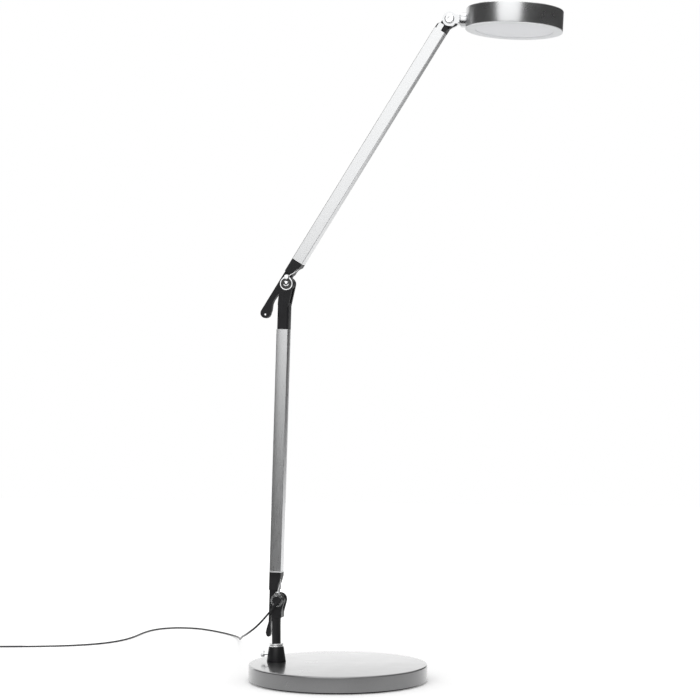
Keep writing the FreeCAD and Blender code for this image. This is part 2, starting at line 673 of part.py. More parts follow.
def tail_rivet():
    """Steel rivet through the lobe of the upper tail."""
    left = UPPER_TUBE_OFFSET - TUBE_HALF
    centre = (left + 7.6, -48.0)
    pin = disc(centre, TAIL_RIVET_RADIUS, -TONGUE_HALF, TONGUE_HALF)
    for y0 in (-TONGUE_HALF - 0.4, TONGUE_HALF):
        pin = pin.fuse(disc(centre, TAIL_RIVET_RADIUS + 0.3, y0, y0 + 0.4))
    return pin


def tube_collar(offset, start):
    """Bright plate between a bottom fitting and its tube."""
    outer = bar(offset - TUBE_HALF - 0.1, offset + TUBE_HALF + 0.1, TUBE_HALF + 0.1,
                start - END_PLATE_THICKNESS, start, TUBE_CORNER)
    return outer.cut(plug(offset, start - 5, start + 5))


def lower_top_fitting():
    """Black fitting at the head of the lower arm: plug, bevelled bar and a fork for the upper arm."""
    left = -10.9
    right = 3.6
    top = LOWER_LENGTH - FORK_SLOT_DEPTH
    body = block(left, right, -CHEEK_OUTER, CHEEK_OUTER, LOWER_TUBE_END, top)
    body = body.makeChamfer(2.0, upright_edges(body))
    for side in (-1, 1):
        y0 = min(side * CHEEK_INNER, side * CHEEK_OUTER)
        outline = link((0, LOWER_LENGTH), ELBOW_CHEEK_RADIUS, (-3.65, top - 2), 7.0, y0, y0 + CHEEK_THICKNESS)
        body = body.fuse(outline)
    lug = peg_lug(-CHEEK_OUTER, -CHEEK_INNER, ELBOW_CHEEK_RADIUS)
    lug.rotate(V(0, 0, 0), V(0, 1, 0), -LOWER_LEAN)
    lug.translate(V(0, 0, LOWER_LENGTH))
    holes = disc((0, 0), BOLT_RADIUS, -20, 20).fuse(disc((PEG_SIDE, PEG_HEIGHT), PEG_RADIUS, -20, 0))
    holes.rotate(V(0, 0, 0), V(0, 1, 0), -LOWER_LEAN)
    holes.translate(V(0, 0, LOWER_LENGTH))
    body = body.fuse(lug).removeSplitter().cut(holes)
    slot = block(-30, 30, -CHEEK_INNER, CHEEK_INNER, top, LOWER_LENGTH + 20)
    body = body.cut(slot)
    body = body.fuse(plug(LOWER_TUBE_OFFSET, LOWER_TUBE_END - PLUG_LENGTH, LOWER_TUBE_END + 1))
    bore = cylinder(LEAD_BORE_RADIUS, V(LOWER_TUBE_OFFSET, 0, LOWER_TUBE_END - 30),
                    V(LOWER_TUBE_OFFSET, 0, LOWER_LENGTH))
    return body.cut(bore).cut(arm_screw(LOWER_TUBE_OFFSET, LOWER_TUBE_END - ARM_SCREW_SETBACK, False))


def upper_top_fitting():
    """Black fitting at the head of the upper arm: plug, short block and the head's tongue."""
    block_end = UPPER_LENGTH - CHEEK_RADIUS - 0.7
    left = UPPER_TUBE_OFFSET - TUBE_HALF
    right = UPPER_TUBE_OFFSET + TUBE_HALF
    body = plug(UPPER_TUBE_OFFSET, UPPER_TUBE_END - PLUG_LENGTH, UPPER_TUBE_END)
    shape = [(left + 0.3, UPPER_TUBE_END), (right, UPPER_TUBE_END), (right, block_end - 1.2),
             (right - 1.2, block_end), (left + 2.6, block_end), (left + 0.3, block_end - 3)]
    body = body.fuse(plate(shape, -TUBE_HALF + TUBE_WALL, TUBE_HALF))
    tongue = disc((0, UPPER_LENGTH), TONGUE_RADIUS - 0.6, -TONGUE_HALF, TONGUE_HALF)
    web = plate([(-8.6, block_end - 2), (right, block_end - 3), (7.8, UPPER_LENGTH - 4),
                 (-7.8, UPPER_LENGTH - 4)], -TONGUE_HALF, TONGUE_HALF)
    body = body.fuse(tongue).fuse(web).removeSplitter()
    body = body.cut(disc((0, UPPER_LENGTH), BOLT_RADIUS + BOLT_FIT, -20, 20))
    bore = cylinder(LEAD_BORE_RADIUS, V(UPPER_TUBE_OFFSET, 0, UPPER_TUBE_END - 30),
                    V(UPPER_TUBE_OFFSET, 0, block_end - 1))
    return body.cut(bore).cut(arm_screw(UPPER_TUBE_OFFSET, UPPER_TUBE_END - ARM_SCREW_SETBACK, False))


def upper_tube_shape():
    """Upper tube: its near wall runs on as a narrow tab over the fitting."""
    tube = tube_with_seats(UPPER_TUBE_OFFSET, UPPER_TUBE_START, UPPER_TUBE_END)
    block_end = UPPER_LENGTH - CHEEK_RADIUS - 0.7
    left = UPPER_TUBE_OFFSET - TUBE_HALF + 2.2
    shape = [(left, UPPER_TUBE_END - 1), (left + 7.0, UPPER_TUBE_END - 1), (left + 7.0, block_end),
             (left + 1.0, block_end), (left, block_end - 2.0)]
    tab = plate(shape, -TUBE_HALF, -TUBE_HALF + TUBE_WALL)
    return tube.fuse(tab).removeSplitter()


def spring(offset):
    """Tension spring inside a tube."""
    points = []
    headings = []
    for step in range(2 * SPRING_TURNS + 1):
        angle = math.pi * step
        rise = SPRING_PITCH * step / 2
        points.append(V(offset + SPRING_RADIUS * math.cos(angle), SPRING_RADIUS * math.sin(angle),
                        SPRING_START + rise))
        heading = V(-math.sin(angle) * SPRING_RADIUS, math.cos(angle) * SPRING_RADIUS,
                    SPRING_PITCH / (2 * math.pi))
        headings.append(heading.normalize())
    return round_tube(Part.Wire(biarcs(points, headings)), SPRING_WIRE_RADIUS)


def spring_ends(offset):
    """Two end plugs the spring hooks on, and the cross pin that holds the upper one."""
    low = SPRING_START - SPRING_WIRE_RADIUS
    high = SPRING_START + SPRING_PITCH * SPRING_TURNS + SPRING_WIRE_RADIUS
    radius = SPRING_RADIUS + SPRING_WIRE_RADIUS + 0.3
    lower = cylinder(radius, V(offset, 0, low - SPRING_PLUG_THICKNESS), V(offset, 0, low))
    upper = cylinder(radius, V(offset, 0, high), V(offset, 0, high + SPRING_PLUG_THICKNESS + 2))
    eye = cylinder(WIRE_RADIUS, V(offset, 0, low - SPRING_PLUG_THICKNESS - 1), V(offset, 0, low - 1.5))
    pin = spring_pin(offset)
    return Part.makeCompound([lower.cut(eye), upper.cut(pin), pin])


def spring_pin(offset):
    """Cross pin that holds the upper plug in the tube."""
    high = SPRING_START + SPRING_PITCH * SPRING_TURNS + SPRING_WIRE_RADIUS
    pin = high + SPRING_PLUG_THICKNESS / 2 + 1
    return cylinder(SPRING_PIN_RADIUS, V(offset - TUBE_HALF, 0, pin), V(offset + TUBE_HALF, 0, pin))


def pinned(tube, offset):
    return tube.cut(spring_pin(offset))


def spring_wire(offset, start, peg_x, peg_z, corner):
    """Steel wire from the peg over the shoulder of the fitting to the spring."""
    eye_y = -ANCHOR_FACE - PEG_NECK / 2
    heading = V(corner[0] - peg_x, 0, corner[2] - peg_z).normalize()
    first = V(peg_x, eye_y, peg_z) + heading * (PEG_RADIUS + WIRE_RADIUS)
    end = SPRING_START - SPRING_WIRE_RADIUS - 1.5
    points = [first, V(*corner), *wire_passage(offset, start), V(offset + 0.2, -0.05, start + 16),
              V(offset, 0, start + 46), V(offset, 0.01, end - 30), V(offset, 0, end)]
    route, least = tube_route(points)
    print("spring wire, least bend radius", round(least, 2))
    eye = Part.makeTorus(PEG_RADIUS + WIRE_RADIUS, WIRE_RADIUS, V(peg_x, eye_y, peg_z), V(0, 1, 0))
    return round_tube(route, WIRE_RADIUS).fuse(eye)


# --- head, in axes with x along the neck ----------------------------------------------------------
def head_knuckle():
    """Silver fork, neck and threaded stub of the head."""
    body = cylinder(NECK_RADIUS, V(9.6, 0, 0), V(NECK_END, 0, 0))
    root = block(9.6, 12.4, -CHEEK_OUTER, CHEEK_OUTER, -5.6, 5.6)
    root = root.makeFillet(1.5, [e for e in upright_edges(root, V(1, 0, 0))])
    body = body.fuse(root)
    for side in (-1, 1):
        y0 = min(side * CHEEK_INNER, side * CHEEK_OUTER)
        cheek = disc((0, 0), CHEEK_RADIUS, y0, y0 + CHEEK_THICKNESS)
        arm = block(0, 11.0, y0, y0 + CHEEK_THICKNESS, -5.2, 5.2)
        body = body.fuse(cheek).fuse(arm)
    body = body.fuse(cylinder(STUB_RADIUS, V(NECK_END, 0, 0), V(STUB_END, 0, 0))).removeSplitter()
    body = body.cut(disc((0, 0), BOLT_RADIUS, -20, 20))
    return body.cut(cylinder(BORE_RADIUS, V(8, 0, 0), V(STUB_END + 1, 0, 0)))


def wall_cylinder(radius):
    return cylinder(radius, V(HEAD_REACH, 0, -40), V(HEAD_REACH, 0, 40))


def head_collar():
    """Cap nut between neck and housing."""
    end = HEAD_REACH - HEAD_RADIUS + 1.0
    ring = cylinder(COLLAR_RADIUS, V(COLLAR_START, 0, 0), V(end, 0, 0))
    rim = [e for e in ring.Edges if isinstance(e.Curve, Part.Circle)
           and abs(e.Curve.Center.x - COLLAR_START) < 1e-4]
    ring = ring.makeFillet(0.8, rim)
    ring = ring.cut(cylinder(NECK_RADIUS, V(0, 0, 0), V(NECK_END, 0, 0)))
    ring = ring.cut(cylinder(STUB_RADIUS, V(0, 0, 0), V(40, 0, 0)))
    return ring.cut(wall_cylinder(HEAD_RADIUS))


def neck_nut():
    """Nut inside the housing wall."""
    body = hexagon(2 * NECK_NUT_RADIUS * math.cos(math.pi / 6), V(18, 0, 0), V(NECK_NUT_END, 0, 0))
    body = body.cut(cylinder(STUB_RADIUS, V(0, 0, 0), V(40, 0, 0)))
    return body.common(wall_cylinder(HEAD_RADIUS - HOUSING_WALL))


def head_axis(z, x=0.0, y=0.0):
    return V(HEAD_REACH + x, y, z)


def housing():
    """Round lamp housing, open below, with three posts for the light unit."""
    bottom = -HEAD_HALF_HEIGHT + RIM_LIP
    top = HEAD_HALF_HEIGHT
    ceiling = top - HOUSING_TOP_THICKNESS
    outer = cylinder(HEAD_RADIUS, head_axis(bottom), head_axis(top))
    outer = outer.makeFillet(HEAD_EDGE_RADIUS, ring_edges(outer, HEAD_RADIUS, top))
    outer = outer.makeFillet(0.5, ring_edges(outer, HEAD_RADIUS, bottom))
    shell = outer.cut(cylinder(HEAD_RADIUS - HOUSING_WALL, head_axis(bottom - 1), head_axis(ceiling)))
    floor = LED_PLATE_BOTTOM + LED_PLATE_THICKNESS
    for x, y in circle_of(HEAD_POST_CIRCLE, 3):
        post_solid = cylinder(HEAD_POST_RADIUS, head_axis(floor, x, y), head_axis(ceiling, x, y))
        shell = shell.fuse(post_solid)
    for x, y in circle_of(HEAD_POST_CIRCLE, 3):
        shell = shell.cut(cylinder(HEAD_SCREW_RADIUS, head_axis(0, x, y), head_axis(floor + 4.5, x, y)))
    shell = shell.cut(cylinder(STUB_RADIUS, V(0, 0, 0), V(40, 0, 0)))
    hole = cylinder(SWITCH_RADIUS + SWITCH_GAP, head_axis(0, -SWITCH_BACK), head_axis(30, -SWITCH_BACK))
    return shell.cut(hole)


def led_plate():
    """Aluminium plate that carries the light board and sheds its heat."""
    top = LED_PLATE_BOTTOM + LED_PLATE_THICKNESS
    sheet = cylinder(HEAD_RADIUS - HOUSING_WALL - 0.3, head_axis(LED_PLATE_BOTTOM), head_axis(top))
    for x, y in circle_of(HEAD_POST_CIRCLE, 3):
        sheet = sheet.cut(cylinder(HEAD_SCREW_RADIUS, head_axis(0, x, y), head_axis(10, x, y)))
    notch = block(0, HEAD_REACH - HEAD_RADIUS + HOUSING_WALL + 9, -9, 9, 0, 10)
    return sheet.cut(notch)


def head_screws():
    """Three screws that hold the light plate to the housing posts."""
    screws = []
    tip = LED_PLATE_BOTTOM + LED_PLATE_THICKNESS + 4.0
    for x, y in circle_of(HEAD_POST_CIRCLE, 3):
        low = LED_PLATE_BOTTOM - HEAD_SCREW_HEAD_HEIGHT
        seat = head_axis(LED_PLATE_BOTTOM, x, y)
        screw = cylinder(HEAD_SCREW_HEAD_RADIUS, head_axis(low, x, y), seat)
        screw = screw.fuse(cylinder(HEAD_SCREW_RADIUS, seat, head_axis(tip, x, y)))
        screw = screw.cut(hexagon(2.0, head_axis(low, x, y), head_axis(low + 1.0, x, y)))
        screws.append(screw)
    return Part.makeCompound(screws)


def led_board():
    """Round white circuit board."""
    return cylinder(LED_BOARD_RADIUS, head_axis(LED_PLATE_BOTTOM - LED_BOARD_THICKNESS),
                    head_axis(LED_PLATE_BOTTOM))


def led_chips():
    """Light-emitting chips in three rings."""
    chips = []
    top = LED_PLATE_BOTTOM - LED_BOARD_THICKNESS
    half = LED_CHIP / 2
    for share, count in LED_RINGS:
        for x, y in circle_of(share * LED_BOARD_RADIUS, count):
            chips.append(block(HEAD_REACH + x - half, HEAD_REACH + x + half, y - half, y + half,
                               top - LED_CHIP_HEIGHT, top))
    return Part.makeCompound(chips)


def diffuser_rim():
    """Light outer ring of the head's underside, with a step for the diffuser."""
    bottom = -HEAD_HALF_HEIGHT
    lip = cylinder(HEAD_RADIUS - RIM_LIP_INSET, head_axis(bottom), head_axis(bottom + RIM_LIP))
    lip = lip.makeFillet(0.5, ring_edges(lip, HEAD_RADIUS - RIM_LIP_INSET, bottom))
    ring = cylinder(HEAD_RADIUS - HOUSING_WALL, head_axis(bottom + RIM_LIP), head_axis(bottom + RIM_THICKNESS))
    ring = lip.fuse(ring).removeSplitter()
    mouth = RIM_INNER_RADIUS + 0.8
    opening = cone(mouth, RIM_INNER_RADIUS, head_axis(bottom - 1), head_axis(bottom + 1.2))
    ring = ring.cut(opening).cut(cylinder(RIM_INNER_RADIUS, head_axis(bottom), head_axis(0)))
    seat = cylinder(RIM_INNER_RADIUS + DIFFUSER_LAP, head_axis(bottom + DIFFUSER_RECESS + 0.4), head_axis(0))
    return ring.cut(seat)


def diffuser():
    """Opal disc that lies in the rim's step."""
    low = -HEAD_HALF_HEIGHT + DIFFUSER_RECESS + 0.4
    radius = RIM_INNER_RADIUS + DIFFUSER_LAP - 0.1
    return cylinder(radius, head_axis(low), head_axis(low + DIFFUSER_THICKNESS))


def switch_button():
    """Round push button in the top of the head, held in by its flange."""
    ceiling = HEAD_HALF_HEIGHT - HOUSING_TOP_THICKNESS
    top = HEAD_HALF_HEIGHT + SWITCH_PROUD
    key = cylinder(SWITCH_RADIUS, head_axis(ceiling - 1, -SWITCH_BACK), head_axis(top, -SWITCH_BACK))
    key = key.makeFillet(0.6, ring_edges(key, SWITCH_RADIUS, top))
    high = ceiling - 0.05
    low = high - SWITCH_FLANGE_THICKNESS
    flange = cylinder(SWITCH_FLANGE_RADIUS, head_axis(low, -SWITCH_BACK), head_axis(high, -SWITCH_BACK))
    return key.fuse(flange)


def switch_module():
    """Switch body under the button, standing on the light plate."""
    low = LED_PLATE_BOTTOM + LED_PLATE_THICKNESS
    ceiling = HEAD_HALF_HEIGHT - HOUSING_TOP_THICKNESS
    plunger_top = ceiling - 0.05 - SWITCH_FLANGE_THICKNESS - SWITCH_TRAVEL - 0.1
    x = HEAD_REACH - SWITCH_BACK
    body = block(x - 5, x + 5, -4, 4, low, plunger_top - 1.2)
    return body.fuse(cylinder(2.0, V(x, 0, plunger_top - 1.2), V(x, 0, plunger_top)))


def head_bolt():
    """Button screw with a hexagon recess through the head's knuckle."""
    screw = bolt(CHEEK_OUTER, HEAD_BOLT_HEAD_RADIUS, HEAD_BOLT_HEAD_HEIGHT, 1.6)
    top = -CHEEK_OUTER - HEAD_BOLT_HEAD_HEIGHT
    return screw.cut(hexagon(4.0, V(0, top, 0), V(0, top + 1.8, 0)))


def head_washer():
    """Dark washer under the upper pivot's screw head, with a notch for the peg."""
    washer = disc((0, 0), UPPER_WASHER_RADIUS, -ANCHOR_FACE - UPPER_WASHER_THICKNESS, -ANCHOR_FACE)
    washer = washer.cut(disc((PEG_SIDE, PEG_HEIGHT), PEG_RADIUS + 0.4, -20, 0))
    return washer.cut(disc((0, 0), BOLT_RADIUS, -20, 20))


def peg_on_arm(lean):
    """Where the peg of a joint lies in the axes of the arm that leans over it."""
    angle = math.radians(lean)
    x = PEG_SIDE * math.cos(angle) - PEG_HEIGHT * math.sin(angle)
    z = PEG_SIDE * math.sin(angle) + PEG_HEIGHT * math.cos(angle)
    return x, z


def at_pivot_1(shape):
    return put_on_arm(shape, PIVOT_1, 0)


def at_pivot_2(shape):
    return put_on_arm(shape, PIVOT_2, 0)


def on_head(shape):
    return put_on_arm(shape, PIVOT_3, HEAD_DIP)


# --- cord: route points on the model, chosen by hand; the last run meets the coil -----------------
GLAND_ROOT = V(5.0, -15.6, 1.2)
CORD_FIRST_BEND = V(-88.5, -16.9, 80.6)
GLAND_HEADING = CORD_FIRST_BEND.sub(PIVOT_1 + GLAND_ROOT).normalize()
CORD_POINTS = [
    PIVOT_1 + GLAND_ROOT + GLAND_HEADING * GLAND_LENGTH,
    CORD_FIRST_BEND,
    V(-101.5, -14.8, 67.0),
    V(-114.5, -8.0, 57.6),
    V(-124.0, 8.0, 52.2),
    V(-133.2, 30.8, 47.8),
    V(-147.5, 73.7, 40.4),
    V(-161.2, 116.7, 33.0),
    V(-175.8, 164.7, 25.6),
    V(-190.2, 212.7, 18.8),
    V(-204.8, 260.6, 12.6),
    V(-219.2, 308.6, 7.0),
    V(-234.9, 352.3, 2.9),
    V(-253.1, 382.9, 1.22),
    V(-274.0, 405.6, 1.2),
    V(-302.7, 430.3, 1.2),
    V(-329.5, 446.3, 1.2),
    V(-357.7, 446.9, 1.2),
    V(-376.3, 434.3, 1.2),
    V(-387.4, 410.5, 1.2),
    V(-389.7, 374.1, 1.2),
    V(-387.0, 328.0, 1.2),
    V(-391.8, 283.6, 1.2),
    V(-411.4, 244.9, 1.2),
    V(-448.3, 216.7, 1.2),
    V(-493.7, 200.1, 1.2),
    V(-536.9, 188.1, 1.2),
    V(-575.9, 179.1, 1.2),
]


def cord():
    """Free cord from the gland, down behind the lamp and along the floor to the coil."""
    route, least = tube_route(CORD_POINTS)
    solid = round_tube(route, CORD_RADIUS)
    expected = math.pi * CORD_RADIUS ** 2 * route.Length
    print("cord length", round(route.Length, 1), "least bend radius", round(least, 1),
          "volume share", round(solid.Volume / expected, 3))
    return solid


def coil_point(turn):
    """Centre line of the coil: in and out at a steady rate, up a layer where it reverses."""
    middle = COIL_TURNS / 2
    radius = COIL_INNER_RADIUS + COIL_PITCH * abs(turn - middle)
    climb = min(max((turn - middle + 0.25) / 0.5, 0.0), 1.0)
    height = CORD_RADIUS + COIL_PITCH * (1 - math.cos(math.pi * climb)) / 2
    angle = -math.pi / 2 - 2 * math.pi * turn
    return V(radius * math.cos(angle), radius * math.sin(angle), height)


def coil_heading(turn):
    step = 0.002
    return coil_point(turn + step).sub(coil_point(turn - step)).normalize()


COIL_START = coil_point(0) - coil_heading(0) * (2 * CORD_RADIUS)
COIL_END_HEADING = V(coil_heading(COIL_TURNS).x, coil_heading(COIL_TURNS).y, 0).normalize()
COIL_END = coil_point(COIL_TURNS) + COIL_END_HEADING * (2 * CORD_RADIUS)


def cord_coil():
    """Put-away length of the cord, wound into a flat coil of two layers."""
    count = int(4 * COIL_TURNS)
    turns = [COIL_TURNS * step / count for step in range(count + 1)]
    points = [coil_point(turn) for turn in turns]
    headings = [coil_heading(turn) for turn in turns]
    headings[-1] = COIL_END_HEADING
    lead_in = Part.LineSegment(COIL_START, points[0]).toShape()
    lead_out = Part.LineSegment(points[-1], COIL_END).toShape()
    route = Part.Wire([lead_in] + biarcs(points, headings) + [lead_out])
    fine = [coil_point(COIL_TURNS * step / 900) for step in range(901)]
    apart = int(0.6 * 900 / COIL_TURNS)
    gap = min(a.distanceToPoint(b) for i, a in enumerate(fine) for b in fine[i + apart:])
    print("coil length", round(route.Length, 1), "least gap", round(gap - 2 * CORD_RADIUS, 2))
    return round_tube(route, CORD_RADIUS)


def beside_coil(shape):
    """Moves a shape from the coil's axes to the end of the cord."""
    run = CORD_POINTS[-1].sub(CORD_POINTS[-2])
    turn = math.degrees(math.atan2(run.y, run.x) - math.atan2(coil_heading(0).y, coil_heading(0).x))
    moved = shape.copy()
    moved.translate(V(-COIL_START.x, -COIL_START.y, 0))
    moved.rotate(V(0, 0, 0), V(0, 0, 1), turn)
    moved.translate(V(CORD_POINTS[-1].x, CORD_POINTS[-1].y, 0))
    return moved


def adapter_place(along_cord, across, z):
    """Point in the adapter's own axes: along the cord from the coil's end, and across it."""
    side = V(COIL_END_HEADING.y, -COIL_END_HEADING.x, 0)
    point = COIL_END + COIL_END_HEADING * along_cord + side * across
    return V(point.x, point.y, z)


def adapter_gland():
    """Tapered strain relief of the adapter."""
    start = adapter_place(0, 0, COIL_END.z)
    return cone(CORD_RADIUS + 0.5, CORD_RADIUS + 2.6, start,
                adapter_place(ADAPTER_GLAND_LENGTH, 0, COIL_END.z))


def adapter_body():
    """Plug-in supply lying on its side."""
    length = ADAPTER_LENGTH
    half = ADAPTER_WIDTH / 2
    body = block(0, length, -half, half, 0, ADAPTER_HEIGHT)
    body = body.makeFillet(4.0, upright_edges(body) + upright_edges(body, V(1, 0, 0)))
    angle = math.degrees(math.atan2(COIL_END_HEADING.y, COIL_END_HEADING.x))
    body.rotate(V(0, 0, 0), V(0, 0, 1), angle)
    body.translate(adapter_place(ADAPTER_GLAND_LENGTH, 0, 0))
    return body


def adapter_pins():
    """Two round pins at the far end of the supply."""
    start = ADAPTER_GLAND_LENGTH + ADAPTER_LENGTH
    pins = []
    for across in (-PIN_SPACING / 2, PIN_SPACING / 2):
        root = adapter_place(start, across, ADAPTER_HEIGHT / 2)
        pin = cylinder(PIN_RADIUS, root, adapter_place(start + PIN_LENGTH, across, ADAPTER_HEIGHT / 2))
        pins.append(pin)
    return Part.makeCompound(pins)


def cord_gland():
    """Black cap over the lower pivot bolt, with an elbow that lets the cord out downwards."""
    face = -ANCHOR_FACE
    cap = disc((0, 0), CAP_RADIUS, face - CAP_THICKNESS, face)
    cap = cap.cut(disc((0, 0), LOWER_BOLT_HEAD_RADIUS, face - LOWER_BOLT_HEAD_HEIGHT, face + 1))
    bridge = link((0, 0), CAP_RADIUS, (GLAND_ROOT.x, GLAND_ROOT.z), ELBOW_RADIUS,
                  face - CAP_THICKNESS, face - LOWER_BOLT_HEAD_HEIGHT)
    elbow = disc((GLAND_ROOT.x, GLAND_ROOT.z), ELBOW_RADIUS, GLAND_ROOT.y - 2.4,
                 face - LOWER_BOLT_HEAD_HEIGHT)
    nose = cone(2.5, CORD_RADIUS + 0.2, GLAND_ROOT, GLAND_ROOT + GLAND_HEADING * GLAND_LENGTH)
    return cap.fuse(bridge).fuse(elbow).fuse(nose).removeSplitter()


# --- build ----------------------------------------------------------------------------------------
save("base_cover", base_cover())
save("base_ballast", ballast())
save("base_bottom_plate", bottom_plate())
save("base_bottom_screws", bottom_screws())
save("base_foot_pad", foot_pad())
save("socket_cone", socket_cone())
save("socket_bolt", socket_bolt())
save("thumb_screw", thumb_screw())
save("thrust_ring_lower", thrust_ring(CONE_TOP, SPINDLE_RADIUS + SPINDLE_FIT))
save("thrust_ring_upper", thrust_ring(CONE_TOP + RING_THICKNESS + RING_GAP, SPINDLE_RADIUS))
save("post_spindle", spindle())
save("post", post())

save("spring_anchor_lower", at_pivot_1(spring_anchor()))
save("friction_discs_lower", at_pivot_1(friction_discs()))
lower_bolt = bolt(ANCHOR_FACE, LOWER_BOLT_HEAD_RADIUS, LOWER_BOLT_HEAD_HEIGHT, 0.6)
save("pivot_bolt_lower", at_pivot_1(lower_bolt))
save("pivot_nut_lower", at_pivot_1(nut()))
save("cord_gland", at_pivot_1(cord_gland()))

lower = (PIVOT_1, LOWER_LEAN)
lower_tube = tube_with_seats(LOWER_TUBE_OFFSET, LOWER_TUBE_START, LOWER_TUBE_END)
lower_seat = LOWER_TUBE_START - END_PLATE_THICKNESS
lower_fitting = bottom_fitting(LOWER_TUBE_OFFSET, LOWER_TUBE_START, lower_seat, lower_tail())
save_on_arm("lower_fitting", lower_fitting, *lower)
save_on_arm("lower_collar", tube_collar(LOWER_TUBE_OFFSET, LOWER_TUBE_START), *lower)
save_on_arm("lower_tube", pinned(lower_tube, LOWER_TUBE_OFFSET), *lower)
save_on_arm("lower_top_fitting", lower_top_fitting(), *lower)
save_on_arm("lower_arm_screws", arm_screws(LOWER_TUBE_OFFSET, LOWER_TUBE_START, LOWER_TUBE_END), *lower)
save_on_arm("lower_spring", spring(LOWER_TUBE_OFFSET), *lower)
save_on_arm("lower_spring_ends", spring_ends(LOWER_TUBE_OFFSET), *lower)
peg_x, peg_z = peg_on_arm(LOWER_LEAN)
save_on_arm("lower_spring_wire", spring_wire(LOWER_TUBE_OFFSET, LOWER_TUBE_START, peg_x, peg_z,
                                             (1.8, -8.3, 15.5)), *lower)

save("spring_anchor_upper", at_pivot_2(spring_anchor()))
save("friction_discs_upper", at_pivot_2(friction_discs()))
bolt_seat = ANCHOR_FACE + UPPER_WASHER_THICKNESS
upper_bolt = bolt(bolt_seat, UPPER_BOLT_HEAD_RADIUS, UPPER_BOLT_HEAD_HEIGHT, 2.4)
save("pivot_bolt_upper", at_pivot_2(upper_bolt))
save("pivot_head_washer_upper", at_pivot_2(head_washer()))
save("pivot_nut_upper", at_pivot_2(nut()))

upper = (PIVOT_2, UPPER_LEAN)
upper_tube = upper_tube_shape()
upper_seat = UPPER_TUBE_START - END_PLATE_THICKNESS
upper_fitting = bottom_fitting(UPPER_TUBE_OFFSET, UPPER_TUBE_START, upper_seat, upper_tail())
save_on_arm("upper_fitting", upper_fitting, *upper)
save_on_arm("upper_collar", tube_collar(UPPER_TUBE_OFFSET, UPPER_TUBE_START), *upper)
save_on_arm("upper_tail_rivet", tail_rivet(), *upper)
save_on_arm("upper_tube", pinned(upper_tube, UPPER_TUBE_OFFSET), *upper)
save_on_arm("upper_top_fitting", upper_top_fitting(), *upper)
save_on_arm("upper_arm_screws", arm_screws(UPPER_TUBE_OFFSET, UPPER_TUBE_START, UPPER_TUBE_END), *upper)
save_on_arm("upper_spring", spring(UPPER_TUBE_OFFSET), *upper)
save_on_arm("upper_spring_ends", spring_ends(UPPER_TUBE_OFFSET), *upper)
peg_x, peg_z = peg_on_arm(UPPER_LEAN)
save_on_arm("upper_spring_wire", spring_wire(UPPER_TUBE_OFFSET, UPPER_TUBE_START, peg_x, peg_z,
                                             (1.2, -8.4, 16.5)), *upper)

save("head_knuckle", on_head(head_knuckle()))
save("head_friction_discs", on_head(friction_discs()))
save("head_bolt", on_head(head_bolt()))
save("head_nut", on_head(nut()))
save("head_collar", on_head(head_collar()))
save("head_neck_nut", on_head(neck_nut()))
save("head_housing", on_head(housing()))
save("head_led_plate", on_head(led_plate()))
save("head_plate_screws", on_head(head_screws()))
save("head_led_board", on_head(led_board()))
save("head_led_chips", on_head(led_chips()))
save("head_diffuser_rim", on_head(diffuser_rim()))
save("head_diffuser", on_head(diffuser()))
save("head_switch_module", on_head(switch_module()))
save("switch_button", on_head(switch_button()))

save("cord", cord())
save("cord_coil", beside_coil(cord_coil()))
save("adapter_gland", beside_coil(adapter_gland()))
save("adapter_body", beside_coil(adapter_body()))
save("adapter_pins", beside_coil(adapter_pins()))
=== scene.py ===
import json
import math

import bmesh
import bpy
from bpy.props import FloatProperty, FloatVectorProperty, PointerProperty
from mathutils import Matrix, Vector


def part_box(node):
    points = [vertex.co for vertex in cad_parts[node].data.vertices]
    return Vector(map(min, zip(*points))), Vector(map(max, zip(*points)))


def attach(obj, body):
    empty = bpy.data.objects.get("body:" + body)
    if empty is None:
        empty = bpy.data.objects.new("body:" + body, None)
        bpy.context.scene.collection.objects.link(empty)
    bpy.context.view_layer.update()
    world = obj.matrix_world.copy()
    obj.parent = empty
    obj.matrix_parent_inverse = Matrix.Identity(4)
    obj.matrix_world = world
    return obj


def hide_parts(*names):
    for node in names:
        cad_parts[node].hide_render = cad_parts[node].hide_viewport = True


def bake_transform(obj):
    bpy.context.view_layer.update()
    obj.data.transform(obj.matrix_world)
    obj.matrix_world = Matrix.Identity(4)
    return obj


bl_info = {
    "name": "Counterweight balance desk lamp",
    "version": (1, 0, 0),
    "blender": (4, 5, 0),
    "location": "View3D > Sidebar > Desk Lamp",
    "description": "Dresses the packed frame of a balanced-arm desk lamp, piece by piece",
    "category": "Add Mesh",
}

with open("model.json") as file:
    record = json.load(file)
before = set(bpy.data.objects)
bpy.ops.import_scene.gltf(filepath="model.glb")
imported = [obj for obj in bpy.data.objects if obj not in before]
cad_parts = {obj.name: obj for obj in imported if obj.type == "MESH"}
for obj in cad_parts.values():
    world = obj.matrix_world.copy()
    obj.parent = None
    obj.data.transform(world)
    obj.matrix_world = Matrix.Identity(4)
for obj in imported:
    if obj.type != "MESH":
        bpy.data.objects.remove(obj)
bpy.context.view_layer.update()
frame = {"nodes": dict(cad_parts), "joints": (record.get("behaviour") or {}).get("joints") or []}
joints = {joint["name"]: joint for joint in frame["joints"]}

